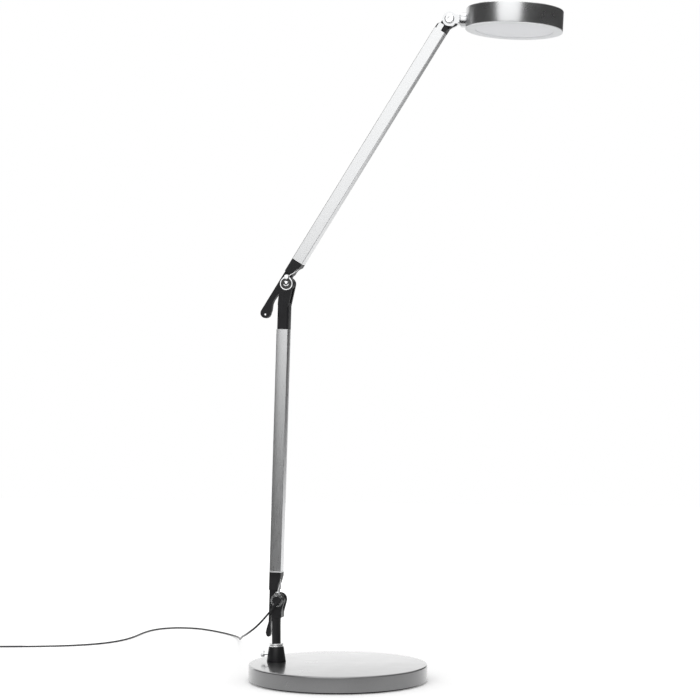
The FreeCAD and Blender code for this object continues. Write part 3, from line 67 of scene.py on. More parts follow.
MM = 0.001
BASE_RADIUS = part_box("base_cover")[1][0]
BASE_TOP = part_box("base_cover")[1][2]
POST_X = joints["post_swivel"]["pos_m"][0]
LOWER_PIVOT = Vector(joints["lower_tilt"]["pos_m"])
UPPER_PIVOT = Vector(joints["upper_tilt"]["pos_m"])
HEAD_PIVOT = Vector(joints["head_tilt"]["pos_m"])
LOWER_LEAN = 1.75
UPPER_LEAN = 32.7
HEAD_DIP = 3.1
ANCHOR_FACE = 9.35
PEG_NECK = 2.4
PEG_SIDE = 0.7
PEG_HEIGHT = 8.0
TUBE_SIDE = 15.0
TUBE_WALL = 1.2
TUBE_CORNER = 0.8
LOWER_TUBE_OFFSET = -4.0
LOWER_TUBE_START = 36.4
LOWER_TUBE_END = 342.5
UPPER_TUBE_OFFSET = -3.5
UPPER_TUBE_START = 32.4
WIRE_RADIUS = 0.5
WIRE_EYE_RADIUS = 2.1
WIRE_ENTRY = Vector((3.5, -3.2, 24.4))
SPRING_START = 147.9
BOLT_RADIUS = 3.0
SOCKET_HEIGHT = 18.7
THRUST_RING_HEIGHT = 2.2
THRUST_RING_GAP = 0.1
HEAD_REACH = 79.8
HEAD_RADIUS = 60
HEAD_HALF_HEIGHT = 13
SWITCH_BACK = 38
CAMERA_PLACE = (0.5470, -2.3016, 0.3655)
CAMERA_TURN = 13
CAMERA_SHIFT = 0.057


# --- places ------------------------------------------------------------------------------------
def lean_at(pivot, degrees):
    """Axes of an arm or the head: millimetres, x across or forward, y depth, z along or up."""
    return Matrix.Translation(pivot) @ Matrix.Rotation(math.radians(degrees), 4, "Y") @ Matrix.Scale(MM, 4)


LOWER_ARM = lean_at(LOWER_PIVOT, LOWER_LEAN)
UPPER_ARM = lean_at(UPPER_PIVOT, UPPER_LEAN)
UPPER_JOINT = lean_at(UPPER_PIVOT, 0)
HEAD = lean_at(HEAD_PIVOT, HEAD_DIP)
WORLD_MM = Matrix.Scale(MM, 4)
POST = Matrix.Translation((POST_X, 0, 0)) @ WORLD_MM
ACROSS = Matrix.Rotation(math.radians(90), 4, "X")


# --- shader maths ------------------------------------------------------------------------------
class Socket:
    """An output socket that adds Math nodes when it is used in an expression."""

    def __init__(self, maker, output):
        self.maker = maker
        self.output = output

    def math(self, operation, first, second):
        return self.maker.add("ShaderNodeMath", {"operation": operation}, {0: first, 1: second})

    def __add__(self, other):
        return self.math("ADD", self, other)

    def __sub__(self, other):
        return self.math("SUBTRACT", self, other)

    def __rsub__(self, other):
        return self.math("SUBTRACT", other, self)

    def __mul__(self, other):
        return self.math("MULTIPLY", self, other)

    __radd__ = __add__
    __rmul__ = __mul__


class Maker:
    """Adds nodes to one node tree."""

    def __init__(self, tree):
        self.tree = tree
        tree.nodes.clear()

    def add(self, kind, settings=None, sockets=None, output=0):
        """A node of any kind: settings first, then the values or links of its sockets."""
        node = self.tree.nodes.new(kind)
        for name, value in (settings or {}).items():
            setattr(node, name, value)
        for name, value in (sockets or {}).items():
            if isinstance(value, Socket):
                self.tree.links.new(value.output, node.inputs[name])
            else:
                node.inputs[name].default_value = value
        return Socket(self, node.outputs[output]) if node.outputs else None

    def place(self, centre=(0, 0, 0), turn=(0, 0, 0), stretch=(1, 1, 1)):
        """Object coordinates, moved so that a centre is the origin, turned and stretched."""
        at = self.add("ShaderNodeTexCoord", output="Object")
        at = self.add("ShaderNodeVectorMath", {"operation": "SUBTRACT"}, {0: at, 1: centre})
        return self.add("ShaderNodeMapping", {"vector_type": "POINT"},
                        {"Vector": at, "Rotation": turn, "Scale": stretch})

    def noise(self, at, scale, detail=2.0, roughness=0.5):
        return self.add("ShaderNodeTexNoise", None,
                        {"Vector": at, "Scale": scale, "Detail": detail, "Roughness": roughness})

    def spread(self, value, low, high):
        """Maps 0.3 .. 0.7, where noise mostly lies, to low .. high."""
        return self.add("ShaderNodeMapRange", None,
                        {"Value": value, "From Min": 0.3, "From Max": 0.7, "To Min": low, "To Max": high})

    def tint(self, factor, first, second):
        """Mixes two colours."""
        return self.add("ShaderNodeMix", {"data_type": "RGBA"},
                        {0: factor, 6: (*first, 1.0), 7: (*second, 1.0)}, output=2)

    def bump(self, height, strength, distance=0.0001):
        return self.add("ShaderNodeBump", None,
                        {"Height": height, "Strength": strength, "Distance": distance})

    def surface(self, **sockets):
        """The surface shader, joined to the material's output."""
        names = {key.replace("_", " "): value for key, value in sockets.items()}
        shader = self.add("ShaderNodeBsdfPrincipled", None, names)
        self.add("ShaderNodeOutputMaterial", None, {"Surface": shader})


finishes = {}


def finish(name):
    """Registers the function that builds a named finish; it is built once, when first used."""
    def keep(build):
        finishes[name] = build
        return build
    return keep


def material(name):
    found = bpy.data.materials.get(name)
    if found is None:
        found = bpy.data.materials.new(name)
        found.use_nodes = True
        finishes[name](Maker(found.node_tree), bpy.context.scene.lamp_finishes)
    return found


def shade(colour, factor):
    return tuple(channel * factor for channel in colour[:3])


# --- finishes ----------------------------------------------------------------------------------
@finish("silver_paint")
def silver_paint(make, look):
    at = make.place()
    flake = make.noise(at, 2600, 1.0)
    cloud = make.noise(at, 24, 2.0)
    peel = make.noise(at, 420, 2.0)
    colour = make.tint(make.spread(flake, 0, 1), shade(look.base_silver, 0.93), shade(look.base_silver, 1.07))
    make.surface(Base_Color=colour, Metallic=0.9, Roughness=make.spread(cloud, 0.27, 0.33),
                 Coat_Weight=1.0, Coat_Roughness=0.1, Normal=make.bump(peel, 0.05))


@finish("arm_silver_lower")
def arm_silver_lower(make, look):
    drawn_aluminium(make, look, LOWER_PIVOT, LOWER_LEAN)


@finish("arm_silver_upper")
def arm_silver_upper(make, look):
    drawn_aluminium(make, look, UPPER_PIVOT, UPPER_LEAN)


def drawn_aluminium(make, look, pivot, lean):
    """Satin anodised section with a faint grain along the arm."""
    at = make.place(pivot, (0, math.radians(-lean), 0), (1, 1, 0.02))
    grain = make.noise(at, 2400, 2.0, 0.6)
    mottle = make.noise(make.place(), 1500, 1.0)
    colour = make.tint(make.spread(grain, 0, 1), shade(look.arm_silver, 0.97), shade(look.arm_silver, 1.03))
    make.surface(Base_Color=colour, Metallic=1.0, Roughness=make.spread(grain, 0.26, 0.32),
                 Normal=make.bump(grain * 0.7 + mottle * 0.3, 0.04))


@finish("head_silver")
def head_silver(make, look):
    at = make.place()
    fine = make.noise(at, 3200, 1.0)
    cloud = make.noise(at, 30, 2.0)
    colour = make.tint(make.spread(cloud, 0, 1), shade(look.head_silver, 0.97), shade(look.head_silver, 1.03))
    make.surface(Base_Color=colour, Metallic=1.0, Roughness=make.spread(cloud, 0.26, 0.31),
                 Normal=make.bump(fine, 0.03))


@finish("turned_silver")
def turned_silver(make, look):
    at = make.place(HEAD_PIVOT, (0, math.radians(-HEAD_DIP), 0), (1, 0.1, 0.1))
    rings = make.noise(at, 5200, 1.0)
    make.surface(Base_Color=(*look.head_silver, 1.0), Metallic=1.0, Roughness=make.spread(rings, 0.2, 0.27),
                 Normal=make.bump(rings, 0.04))


@finish("bright_plating")
def bright_plating(make, look):
    smudge = make.noise(make.place(), 160, 3.0)
    make.surface(Base_Color=(*look.plating, 1.0), Metallic=1.0, Roughness=make.spread(smudge, 0.16, 0.24))


@finish("satin_plating")
def satin_plating(make, look):
    grain = make.noise(make.place(), 900, 3.0)
    make.surface(Base_Color=(*look.plating, 1.0), Metallic=1.0, Roughness=make.spread(grain, 0.38, 0.48),
                 Normal=make.bump(grain, 0.04))


@finish("plain_steel")
def plain_steel(make, look):
    at = make.place()
    grain = make.noise(at, 1800, 3.0)
    colour = make.tint(make.spread(grain, 0, 1), shade(look.steel, 0.9), shade(look.steel, 1.08))
    make.surface(Base_Color=colour, Metallic=1.0, Roughness=make.spread(grain, 0.22, 0.36),
                 Normal=make.bump(grain, 0.06))


@finish("black_nylon")
def black_nylon(make, look):
    at = make.place()
    grain = make.noise(at, 1500, 3.0, 0.6)
    cloud = make.noise(at, 90, 2.0)
    colour = make.tint(make.spread(cloud, 0, 1), shade(look.black, 0.8), shade(look.black, 1.2))
    make.surface(Base_Color=colour, Roughness=make.spread(cloud, 0.4, 0.5), Specular_IOR_Level=0.25,
                 Normal=make.bump(grain, 0.12))


@finish("black_enamel")
def black_enamel(make, look):
    at = make.place()
    peel = make.noise(at, 520, 2.0)
    cloud = make.noise(at, 70, 2.0)
    make.surface(Base_Color=(*shade(look.black, 0.8), 1.0), Roughness=make.spread(cloud, 0.34, 0.42),
                 Specular_IOR_Level=0.3, Normal=make.bump(peel, 0.06))


@finish("dark_fibre")
def dark_fibre(make, look):
    grain = make.noise(make.place(), 1200, 4.0, 0.7)
    colour = make.tint(make.spread(grain, 0, 1), (0.025, 0.025, 0.027), (0.06, 0.058, 0.055))
    make.surface(Base_Color=colour, Roughness=0.6, Normal=make.bump(grain, 0.3))


@finish("cast_iron")
def cast_iron(make, look):
    grain = make.noise(make.place(), 700, 4.0, 0.65)
    colour = make.tint(make.spread(grain, 0, 1), (0.09, 0.09, 0.092), (0.19, 0.185, 0.18))
    make.surface(Base_Color=colour, Metallic=0.7, Roughness=make.spread(grain, 0.5, 0.7),
                 Normal=make.bump(grain, 0.6, 0.0003))


@finish("plate_black")
def plate_black(make, look):
    grain = make.noise(make.place(), 1100, 3.0)
    make.surface(Base_Color=(0.03, 0.03, 0.032, 1.0), Roughness=make.spread(grain, 0.45, 0.6),
                 Normal=make.bump(grain, 0.15))


@finish("foot_foam")
def foot_foam(make, look):
    at = make.place()
    cells = make.add("ShaderNodeTexVoronoi", None, {"Vector": at, "Scale": 1400})
    colour = make.tint(make.spread(cells, 0, 1), (0.012, 0.012, 0.013), (0.03, 0.03, 0.031))
    make.surface(Base_Color=colour, Roughness=0.8, Normal=make.bump(cells, 0.35, 0.0002))


@finish("solder_mask_white")
def solder_mask_white(make, look):
    grain = make.noise(make.place(), 300, 2.0)
    colour = make.tint(make.spread(grain, 0, 1), (0.76, 0.76, 0.74), (0.84, 0.84, 0.82))
    make.surface(Base_Color=colour, Roughness=0.3, Normal=make.bump(grain, 0.05))


@finish("phosphor")
def phosphor(make, look):
    grain = make.noise(make.place(), 2000, 2.0)
    colour = make.tint(make.spread(grain, 0, 1), (0.72, 0.58, 0.1), (0.82, 0.7, 0.18))
    make.surface(Base_Color=colour, Roughness=0.4)


@finish("rim_plastic")
def rim_plastic(make, look):
    grain = make.noise(make.place(), 1500, 2.0)
    colour = make.tint(make.spread(grain, 0, 1), shade(look.rim, 0.985), shade(look.rim, 1.015))
    make.surface(Base_Color=colour, Roughness=0.38, Normal=make.bump(grain, 0.04))


@finish("opal")
def opal(make, look):
    """Opal sheet with painted shade towards its edge, where the light unit's wall stands behind it."""
    centre = HEAD @ Vector((HEAD_REACH, 0, -12))
    at = make.place(centre, (0, math.radians(-HEAD_DIP), 0), (1, 1, 0))
    reach = make.add("ShaderNodeVectorMath", {"operation": "LENGTH"}, {0: at}, output="Value")
    # mask of the painted shade: 0 within 36 mm of the centre, 1 from 48 mm
    edge = make.add("ShaderNodeMapRange", {"interpolation_type": "SMOOTHSTEP"},
                    {"Value": reach, "From Min": 0.036, "From Max": 0.048, "To Min": 0.0, "To Max": 1.0})
    grain = make.noise(make.place(), 1800, 2.0)
    # painted shade: the opal colour 7 % darker towards the edge
    colour = make.tint(edge, look.opal[:3], shade(look.opal, 0.93))
    make.surface(Base_Color=colour, Roughness=make.spread(grain, 0.3, 0.36), Subsurface_Weight=0.25,
                 Subsurface_Radius=(0.004, 0.004, 0.004), Subsurface_Scale=1.0,
                 Normal=make.bump(grain, 0.03))


@finish("switch_grey")
def switch_grey(make, look):
    grain = make.noise(make.place(), 1600, 2.0)
    make.surface(Base_Color=(0.09, 0.092, 0.095, 1.0), Roughness=make.spread(grain, 0.35, 0.45),
                 Normal=make.bump(grain, 0.08))


@finish("cord_vinyl")
def cord_vinyl(make, look):
    """Smooth black sheath with the faint lengthwise marks of its drawing."""
    at = make.add("ShaderNodeTexCoord", output="Object")
    marks = make.noise(at, 900, 2.0)
    make.surface(Base_Color=(0.014, 0.014, 0.015, 1.0), Roughness=make.spread(marks, 0.3, 0.42),
                 Normal=make.bump(marks, 0.08))


@finish("supply_shell")
def supply_shell(make, look):
    grain = make.noise(make.place(), 1300, 3.0, 0.6)
    make.surface(Base_Color=(0.02, 0.02, 0.021, 1.0), Roughness=make.spread(grain, 0.42, 0.52),
                 Normal=make.bump(grain, 0.25))


# --- mesh work ---------------------------------------------------------------------------------
def lathe(profile, steps=96, closed=False):
    """Spins a profile of (radius, height) points round the z axis."""
    mesh = bmesh.new()
    points = [mesh.verts.new((radius, 0, height)) for radius, height in profile]
    pairs = list(zip(points, points[1:]))
    if closed:
        pairs.append((points[-1], points[0]))
    edges = [mesh.edges.new(pair) for pair in pairs]
    bmesh.ops.spin(mesh, geom=points + edges, cent=(0, 0, 0), axis=(0, 0, 1),
                   angle=math.tau, steps=steps, use_merge=True)
    bmesh.ops.remove_doubles(mesh, verts=mesh.verts, dist=1e-4)
    bmesh.ops.recalc_face_normals(mesh, faces=mesh.faces)
    return mesh


def sharp_edges(mesh, degrees=28):
    return [edge for edge in mesh.edges
            if len(edge.link_faces) == 2 and edge.calc_face_angle(0) > math.radians(degrees)]


def soften(mesh, width, segments=3, edges=None):
    """Rounds the sharp edges, or the given ones."""
    bmesh.ops.bevel(mesh, geom=edges or sharp_edges(mesh), offset=width, offset_type="OFFSET",
                    segments=segments, profile=0.5, affect="EDGES", material=-1, clamp_overlap=True)
    return mesh


def cuboid(size, centre):
    mesh = bmesh.new()
    bmesh.ops.create_cube(mesh, size=1)
    bmesh.ops.scale(mesh, verts=mesh.verts, vec=size)
    bmesh.ops.translate(mesh, verts=mesh.verts, vec=centre)
    return mesh


def drum(radius, low, high, steps=48, top_radius=None):
    """Cylinder or cone that stands on the z axis."""
    mesh = bmesh.new()
    top = radius if top_radius is None else top_radius
    bmesh.ops.create_cone(mesh, cap_ends=True, segments=steps, radius1=radius, radius2=top, depth=high - low)
    bmesh.ops.translate(mesh, verts=mesh.verts, vec=(0, 0, (low + high) / 2))
    return mesh


def joined(*meshes):
    """One bmesh from several."""
    whole = bmesh.new()
    for mesh in meshes:
        part = bpy.data.meshes.new("part")
        mesh.to_mesh(part)
        whole.from_mesh(part)
        bpy.data.meshes.remove(part)
        mesh.free()
    return whole


def moved(mesh, matrix):
    bmesh.ops.transform(mesh, matrix=matrix, verts=mesh.verts)
    return mesh


def copy_of(node):
    """A CAD node's surface as one skin, in millimetres of the row frame."""
    mesh = bmesh.new()
    mesh.from_mesh(frame["nodes"][node].data)
    bmesh.ops.remove_doubles(mesh, verts=mesh.verts, dist=2e-6)
    bmesh.ops.dissolve_degenerate(mesh, edges=mesh.edges, dist=2e-6)
    bmesh.ops.dissolve_limit(mesh, angle_limit=math.radians(0.6), verts=mesh.verts, edges=mesh.edges,
                             use_dissolve_boundaries=False)
    return moved(mesh, WORLD_MM.inverted())


def piece(name, mesh, place, finish_name, body, nodes, rounding=0.0, smooth=32):
    """Turns a bmesh into a finished piece of the lamp."""
    moved(mesh, place)
    skin = bpy.data.meshes.new(name)
    mesh.to_mesh(skin)
    mesh.free()
    skin.shade_smooth()
    skin.set_sharp_from_angle(angle=math.radians(smooth))
    skin.materials.append(material(finish_name))
    thing = bpy.data.objects.new(name, skin)
    bpy.context.scene.collection.objects.link(thing)
    if rounding:
        edge = thing.modifiers.new("Rounded edges", "BEVEL")
        edge.width = rounding * MM
        edge.segments = 2
        edge.limit_method = "ANGLE"
        edge.angle_limit = math.radians(32)
        edge.harden_normals = True
    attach(thing, body)
    if nodes:
        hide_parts(*nodes)
    return thing


def cast(node, finish_name, body, rounding):
    """A moulded or cast piece: the CAD node's surface with rounded edges."""
    return piece(node + "_skin", copy_of(node), WORLD_MM, finish_name, body, [node], rounding)


def dress(node, finish_name):
    """Gives a CAD node its finish."""
    skin = frame["nodes"][node].data
    skin.materials.clear()
    skin.materials.append(material(finish_name))


def square_section(offset, start, end):
    """Square bar with rounded long edges and open ends."""
    mesh = cuboid((TUBE_SIDE, TUBE_SIDE, end - start), (offset, 0, (start + end) / 2))
    ends = [face for face in mesh.faces if abs(face.normal.z) > 0.9]
    bmesh.ops.delete(mesh, geom=ends, context="FACES_ONLY")
    long_edges = [edge for edge in mesh.edges
                  if abs(edge.verts[0].co.z - edge.verts[1].co.z) > 1]
    return soften(mesh, TUBE_CORNER, 4, long_edges)


def square_tube(offset, start, end):
    mesh = square_section(offset, start, end)
    bmesh.ops.recalc_face_normals(mesh, faces=mesh.faces)
    bmesh.ops.solidify(mesh, geom=mesh.faces, thickness=TUBE_WALL)
    return mesh


def spline(name, points, radius, order, resolution=8, ring=5):
    """Round bar along a smooth curve through given points, in metres."""
    curve = bpy.data.curves.new(name, "CURVE")
    curve.dimensions = "3D"
    line = curve.splines.new("NURBS")
    line.points.add(len(points) - 1)
    for point, place in zip(line.points, points):
        point.co = (*place, 1)
    line.order_u = order
    line.use_endpoint_u = True
    line.resolution_u = resolution
    curve.bevel_depth = radius
    curve.bevel_resolution = ring
    curve.use_fill_caps = True
    thing = bpy.data.objects.new(name, curve)
    bpy.context.scene.collection.objects.link(thing)
    return thing


# --- cord: the route's points, then the coil's formula -------------------------------------------
CORD_DIAMETER = 2.4
GLAND_ROOT = Vector((-72.0, -15.6, 101.0))
CORD_ROUTE = [
    (-88.5, -16.9, 80.6), (-101.5, -14.8, 67.0), (-114.5, -8.0, 57.6), (-124.0, 8.0, 52.2),
    (-133.2, 30.8, 47.8), (-147.5, 73.7, 40.4), (-161.2, 116.7, 33.0), (-175.8, 164.7, 25.6),
    (-190.2, 212.7, 18.8), (-204.8, 260.6, 12.6), (-219.2, 308.6, 7.0), (-234.9, 352.3, 2.9),
    (-253.1, 382.9, 1.22), (-274.0, 405.6, 1.2), (-302.7, 430.3, 1.2), (-329.5, 446.3, 1.2),
    (-357.7, 446.9, 1.2), (-376.3, 434.3, 1.2), (-387.4, 410.5, 1.2), (-389.7, 374.1, 1.2),
    (-387.0, 328.0, 1.2), (-391.8, 283.6, 1.2), (-411.4, 244.9, 1.2), (-448.3, 216.7, 1.2),
    (-493.7, 200.1, 1.2), (-536.9, 188.1, 1.2), (-575.9, 179.1, 1.2),
]
COIL_TURNS = 7.25
COIL_INNER_RADIUS = 12.8
COIL_PITCH = 2.9


def cord_exit():
    heading = (Vector(CORD_ROUTE[0]) - GLAND_ROOT).normalized()
    return GLAND_ROOT + heading * 13.0


def coil_point(turn):
    """Centre line of the coil: in, up a layer and out again."""
    middle = COIL_TURNS / 2
    radius = COIL_INNER_RADIUS + COIL_PITCH * abs(turn - middle)
    climb = min(max((turn - middle + 0.25) / 0.5, 0.0), 1.0)
    height = CORD_DIAMETER / 2 + COIL_PITCH * (1 - math.cos(math.pi * climb)) / 2
    angle = -math.pi / 2 - math.tau * turn
    return Vector((radius * math.cos(angle), radius * math.sin(angle), height))


def coil_heading(turn):
    return (coil_point(turn + 0.002) - coil_point(turn - 0.002)).normalized()


def coil_place():
    """Axes of the coil: its start meets the end of the route."""
    run = Vector(CORD_ROUTE[-1]) - Vector(CORD_ROUTE[-2])
    first = coil_heading(0)
    turn = math.atan2(run.y, run.x) - math.atan2(first.y, first.x)
    start = coil_point(0) - first * CORD_DIAMETER
    last = Vector(CORD_ROUTE[-1])
    return (Matrix.Translation((last.x, last.y, 0)) @ Matrix.Rotation(turn, 4, "Z")
            @ Matrix.Translation((-start.x, -start.y, 0)))


def supply_place():
    """Axes of the supply: x along the cord's last stretch, from the coil's end."""
    heading = coil_heading(COIL_TURNS)
    angle = math.atan2(heading.y, heading.x)
    flat = Vector((math.cos(angle), math.sin(angle), 0))
    end = coil_point(COIL_TURNS) + flat * CORD_DIAMETER
    return coil_place() @ Matrix.Translation((end.x, end.y, 0)) @ Matrix.Rotation(angle, 4, "Z")


class LampOperator:
    """What the lamp's operators share."""
    bl_options = {"REGISTER", "UNDO"}


class LAMP_OT_stage(LampOperator, bpy.types.Operator):
    """Pale floor, soft studio light and the camera at the product picture's angle"""
    bl_idname = "lamp.stage"
    bl_label = "Stage and camera"

    def execute(self, context):
        scene = context.scene
        scene.view_settings.view_transform = "Standard"
        self.camera(scene)
        self.floor(scene)
        self.world(scene)
        self.softbox(scene, "Key softbox", (0.0, -2.1, 1.33), (0, 0, 0.45), 2.3, 2.1, 23)
        self.softbox(scene, "Top softbox", (0.1, 0.1, 2.3), (0, 0, 0), 1.4, 1.4, 8)
        self.softbox(scene, "Left strip", (-0.5, 0.25, 0.5), (0.1, 0, 0.5), 0.08, 1.0, 0.3)
        return {"FINISHED"}

    def camera(self, scene):
        eye = bpy.data.cameras.new("Camera")
        eye.lens = scene.lamp_sizes.lens
        eye.sensor_width = 36
        eye.shift_y = CAMERA_SHIFT
        holder = bpy.data.objects.new("Camera", eye)
        holder.location = CAMERA_PLACE
        holder.rotation_euler = (math.radians(90), 0, math.radians(CAMERA_TURN))
        scene.collection.objects.link(holder)
        scene.camera = holder

    def floor(self, scene):
        """Pale paper that lights up with the distance from the lamp, so the contact shadow stays."""
        sheet = bmesh.new()
        bmesh.ops.create_grid(sheet, x_segments=1, y_segments=1, size=1)
        bmesh.ops.scale(sheet, verts=sheet.verts, vec=(3, 2, 1))
        bmesh.ops.translate(sheet, verts=sheet.verts, vec=(0, 1.6, -0.0003))
        skin = bpy.data.meshes.new("Floor")
        sheet.to_mesh(skin)
        sheet.free()
        ground = bpy.data.objects.new("Floor", skin)
        scene.collection.objects.link(ground)
        paper = bpy.data.materials.new("floor_paper")
        paper.use_nodes = True
        make = Maker(paper.node_tree)
        lit = make.add("ShaderNodeBsdfDiffuse", None, {"Color": (0.92, 0.92, 0.92, 1)})
        spot = make.add("ShaderNodeTexCoord", output="Object")
        reach = make.add("ShaderNodeVectorMath", {"operation": "LENGTH"}, {0: spot}, output="Value")
        far = make.add("ShaderNodeMapRange", {"interpolation_type": "SMOOTHSTEP"},
                       {"Value": reach, "From Min": 0.15, "From Max": 1.0})
        glow = make.add("ShaderNodeEmission", None, {"Color": (1, 1, 1, 1), "Strength": far * 0.36 + 0.2})
        both = make.add("ShaderNodeAddShader", None, {0: lit, 1: glow})
        seen = self.background_rays(make)
        mixed = make.add("ShaderNodeMixShader", None, {0: seen, 1: lit, 2: both})
        make.add("ShaderNodeOutputMaterial", None, {"Surface": mixed})
        skin.materials.append(paper)

    def background_rays(self, make):
        """1 for the rays that show the background: camera, glossy and transmission rays."""
        path = make.add("ShaderNodeLightPath", output="Is Camera Ray")
        glossy = make.add("ShaderNodeLightPath", output="Is Glossy Ray")
        through = make.add("ShaderNodeLightPath", output="Is Transmission Ray")
        most = make.add("ShaderNodeMath", {"operation": "MAXIMUM"}, {0: path, 1: glossy})
        return make.add("ShaderNodeMath", {"operation": "MAXIMUM"}, {0: most, 1: through})

    def world(self, scene):
        """White for the camera; a dark studio with a bright back and ceiling for reflections."""
        world = bpy.data.worlds.new("Studio")
        world.use_nodes = True
        scene.world = world
        make = Maker(world.node_tree)
        way = make.add("ShaderNodeTexCoord", output="Generated")
        behind = self.window(make, way, (-0.3746, 0.9272, 0.0), 0.819, 0.899)
        above = self.window(make, way, (0.0, 0.0, 1.0), 0.35, 0.6)
        aside = self.window(make, way, (0.9742, 0.2256, 0.0), 0.6, 0.8)
        across = self.window(make, way, (-0.9742, -0.2256, 0.0), 0.6, 0.8)
        ceiling = above * (1 - aside) * (1 - across)
        bright = make.add("ShaderNodeMath", {"operation": "MAXIMUM"}, {0: behind, 1: ceiling})
        backdrop = bright * 1.09 + 0.06
        ambient = make.add("ShaderNodeBackground", None, {"Color": (1, 1, 1, 1), "Strength": 0.62})
        studio = make.add("ShaderNodeBackground", None, {"Color": (1, 1, 1, 1), "Strength": backdrop})
        white = make.add("ShaderNodeBackground", None, {"Color": (1, 1, 1, 1), "Strength": 1.0})
        glossy = make.add("ShaderNodeLightPath", output="Is Glossy Ray")
        open_rays = self.background_rays(make)
        inner = make.add("ShaderNodeMixShader", None, {0: open_rays, 1: ambient, 2: white})
        mixed = make.add("ShaderNodeMixShader", None, {0: glossy, 1: inner, 2: studio})
        make.add("ShaderNodeOutputWorld", None, {"Surface": mixed})

    def window(self, make, way, heading, low, high):
        """1 inside a soft-edged cone round a heading, 0 outside it."""
        nearness = make.add("ShaderNodeVectorMath", {"operation": "DOT_PRODUCT"}, {0: way, 1: heading},
                            output="Value")
        return make.add("ShaderNodeMapRange", {"interpolation_type": "SMOOTHSTEP"},
                        {"Value": nearness, "From Min": low, "From Max": high})

    def softbox(self, scene, name, place, target, width, height, power):
        light = bpy.data.lights.new(name, "AREA")
        light.shape = "RECTANGLE"
        light.size = width
        light.size_y = height
        light.energy = power
        holder = bpy.data.objects.new(name, light)
        holder.location = place
        holder.rotation_euler = (Vector(target) - Vector(place)).to_track_quat("-Z", "Y").to_euler()
        holder.visible_camera = False
        scene.collection.objects.link(holder)


class LAMP_OT_cord(LampOperator, bpy.types.Operator):
    """Thin cord from the lower joint, down behind the lamp, along the floor and into its coil"""
    bl_idname = "lamp.cord"
    bl_label = "Cord"

    def execute(self, context):
        start = cord_exit()
        turns = [COIL_TURNS * step / 116 for step in range(117)]
        coil = [coil_place() @ coil_point(turn) for turn in turns]
        height = coil_point(COIL_TURNS).z
        ends = [supply_place() @ Vector((x, 0, height)) for x in (4.0, 54.0)]
        route = [start] + [Vector(point) for point in CORD_ROUTE] + coil + ends
        flex = spline("cord_flex", [point * MM for point in route], CORD_DIAMETER / 2 * MM, 3)
        flex.data.materials.append(material("cord_vinyl"))
        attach(flex, "swivel")
        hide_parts("cord", "cord_coil")
        return {"FINISHED"}


class LAMP_OT_supply(LampOperator, bpy.types.Operator):
    """Plug-in supply at the end of the cord: ribbed strain relief, two-shell body and two pins"""
    bl_idname = "lamp.supply"
    bl_label = "Plug-in supply"

    def execute(self, context):
        place = WORLD_MM @ supply_place()
        height = coil_point(COIL_TURNS).z
        relief = self.relief()
        along = Matrix.Translation((0, 0, height)) @ Matrix.Rotation(math.radians(90), 4, "Y")
        piece("supply_relief", relief, place @ along, "black_nylon", "swivel", ["adapter_gland"])
        body = cuboid((56, 36, 24), (54, 0, 12))
        soften(body, 4.0, 5, [edge for edge in body.edges
                              if abs(edge.verts[0].co.y - edge.verts[1].co.y) < 1])
        piece("supply_shell", body, place, "supply_shell", "swivel", ["adapter_body"],
              0.5)
        pins = []
        for side in (-9.5, 9.5):
            pin = lathe([(0, 0), (2.0, 0), (2.0, 16.6), (1.6, 18.2), (0.9, 18.9), (0, 19.0)], 32)
            turned = Matrix.Translation((82, side, 12)) @ Matrix.Rotation(math.radians(90), 4, "Y")
            pins.append(moved(pin, turned))
        piece("supply_pins", joined(*pins), place, "bright_plating", "swivel", ["adapter_pins"])
        return {"FINISHED"}

    def relief(self):
        """Tapered sleeve with nine ribs."""
        profile = [(0, 0.0), (1.6, 0.0)]
        for rib in range(9):
            low = 0.8 + 2.5 * rib
            radius = 1.7 + 2.1 * low / 26
            profile += [(radius, low), (radius + 0.1, low + 1.5), (radius - 0.35, low + 1.7),
                        (radius - 0.35, low + 2.3)]
        profile += [(3.8, 23.6), (3.8, 26.0), (0, 26.0)]
        return lathe(profile, 48)


class LAMP_OT_base(LampOperator, bpy.types.Operator):
    """Weighted disc base: painted cover with a rounded edge, weight, plate and soft pad"""
    bl_idname = "lamp.base"
    bl_label = "Base"

    def execute(self, context):
        radius = BASE_RADIUS / MM
        top = BASE_TOP / MM
        profile = [(radius - 1.5, 2.2), (radius, 2.2), (radius, top), (0, top)]
        inner = [(0, top - 1.5), (radius - 1.5, top - 1.5)]
        cover = lathe(profile + inner, 192)
        rim = [edge for edge in sharp_edges(cover) if edge.verts[0].co.z > top - 0.1]
        soften(cover, context.scene.lamp_sizes.base_edge / MM, 8, rim)
        piece("base_cover_skin", cover, WORLD_MM, "silver_paint", "base", ["base_cover"])
        dress("base_ballast", "cast_iron")
        dress("base_bottom_plate", "plate_black")
        dress("base_bottom_screws", "plain_steel")
        pad = drum(radius - 4.5, 0, 2.2, 144)
        soften(pad, 0.5, 3)
        piece("base_pad", pad, WORLD_MM, "foot_foam", "base", ["base_foot_pad"])
        return {"FINISHED"}


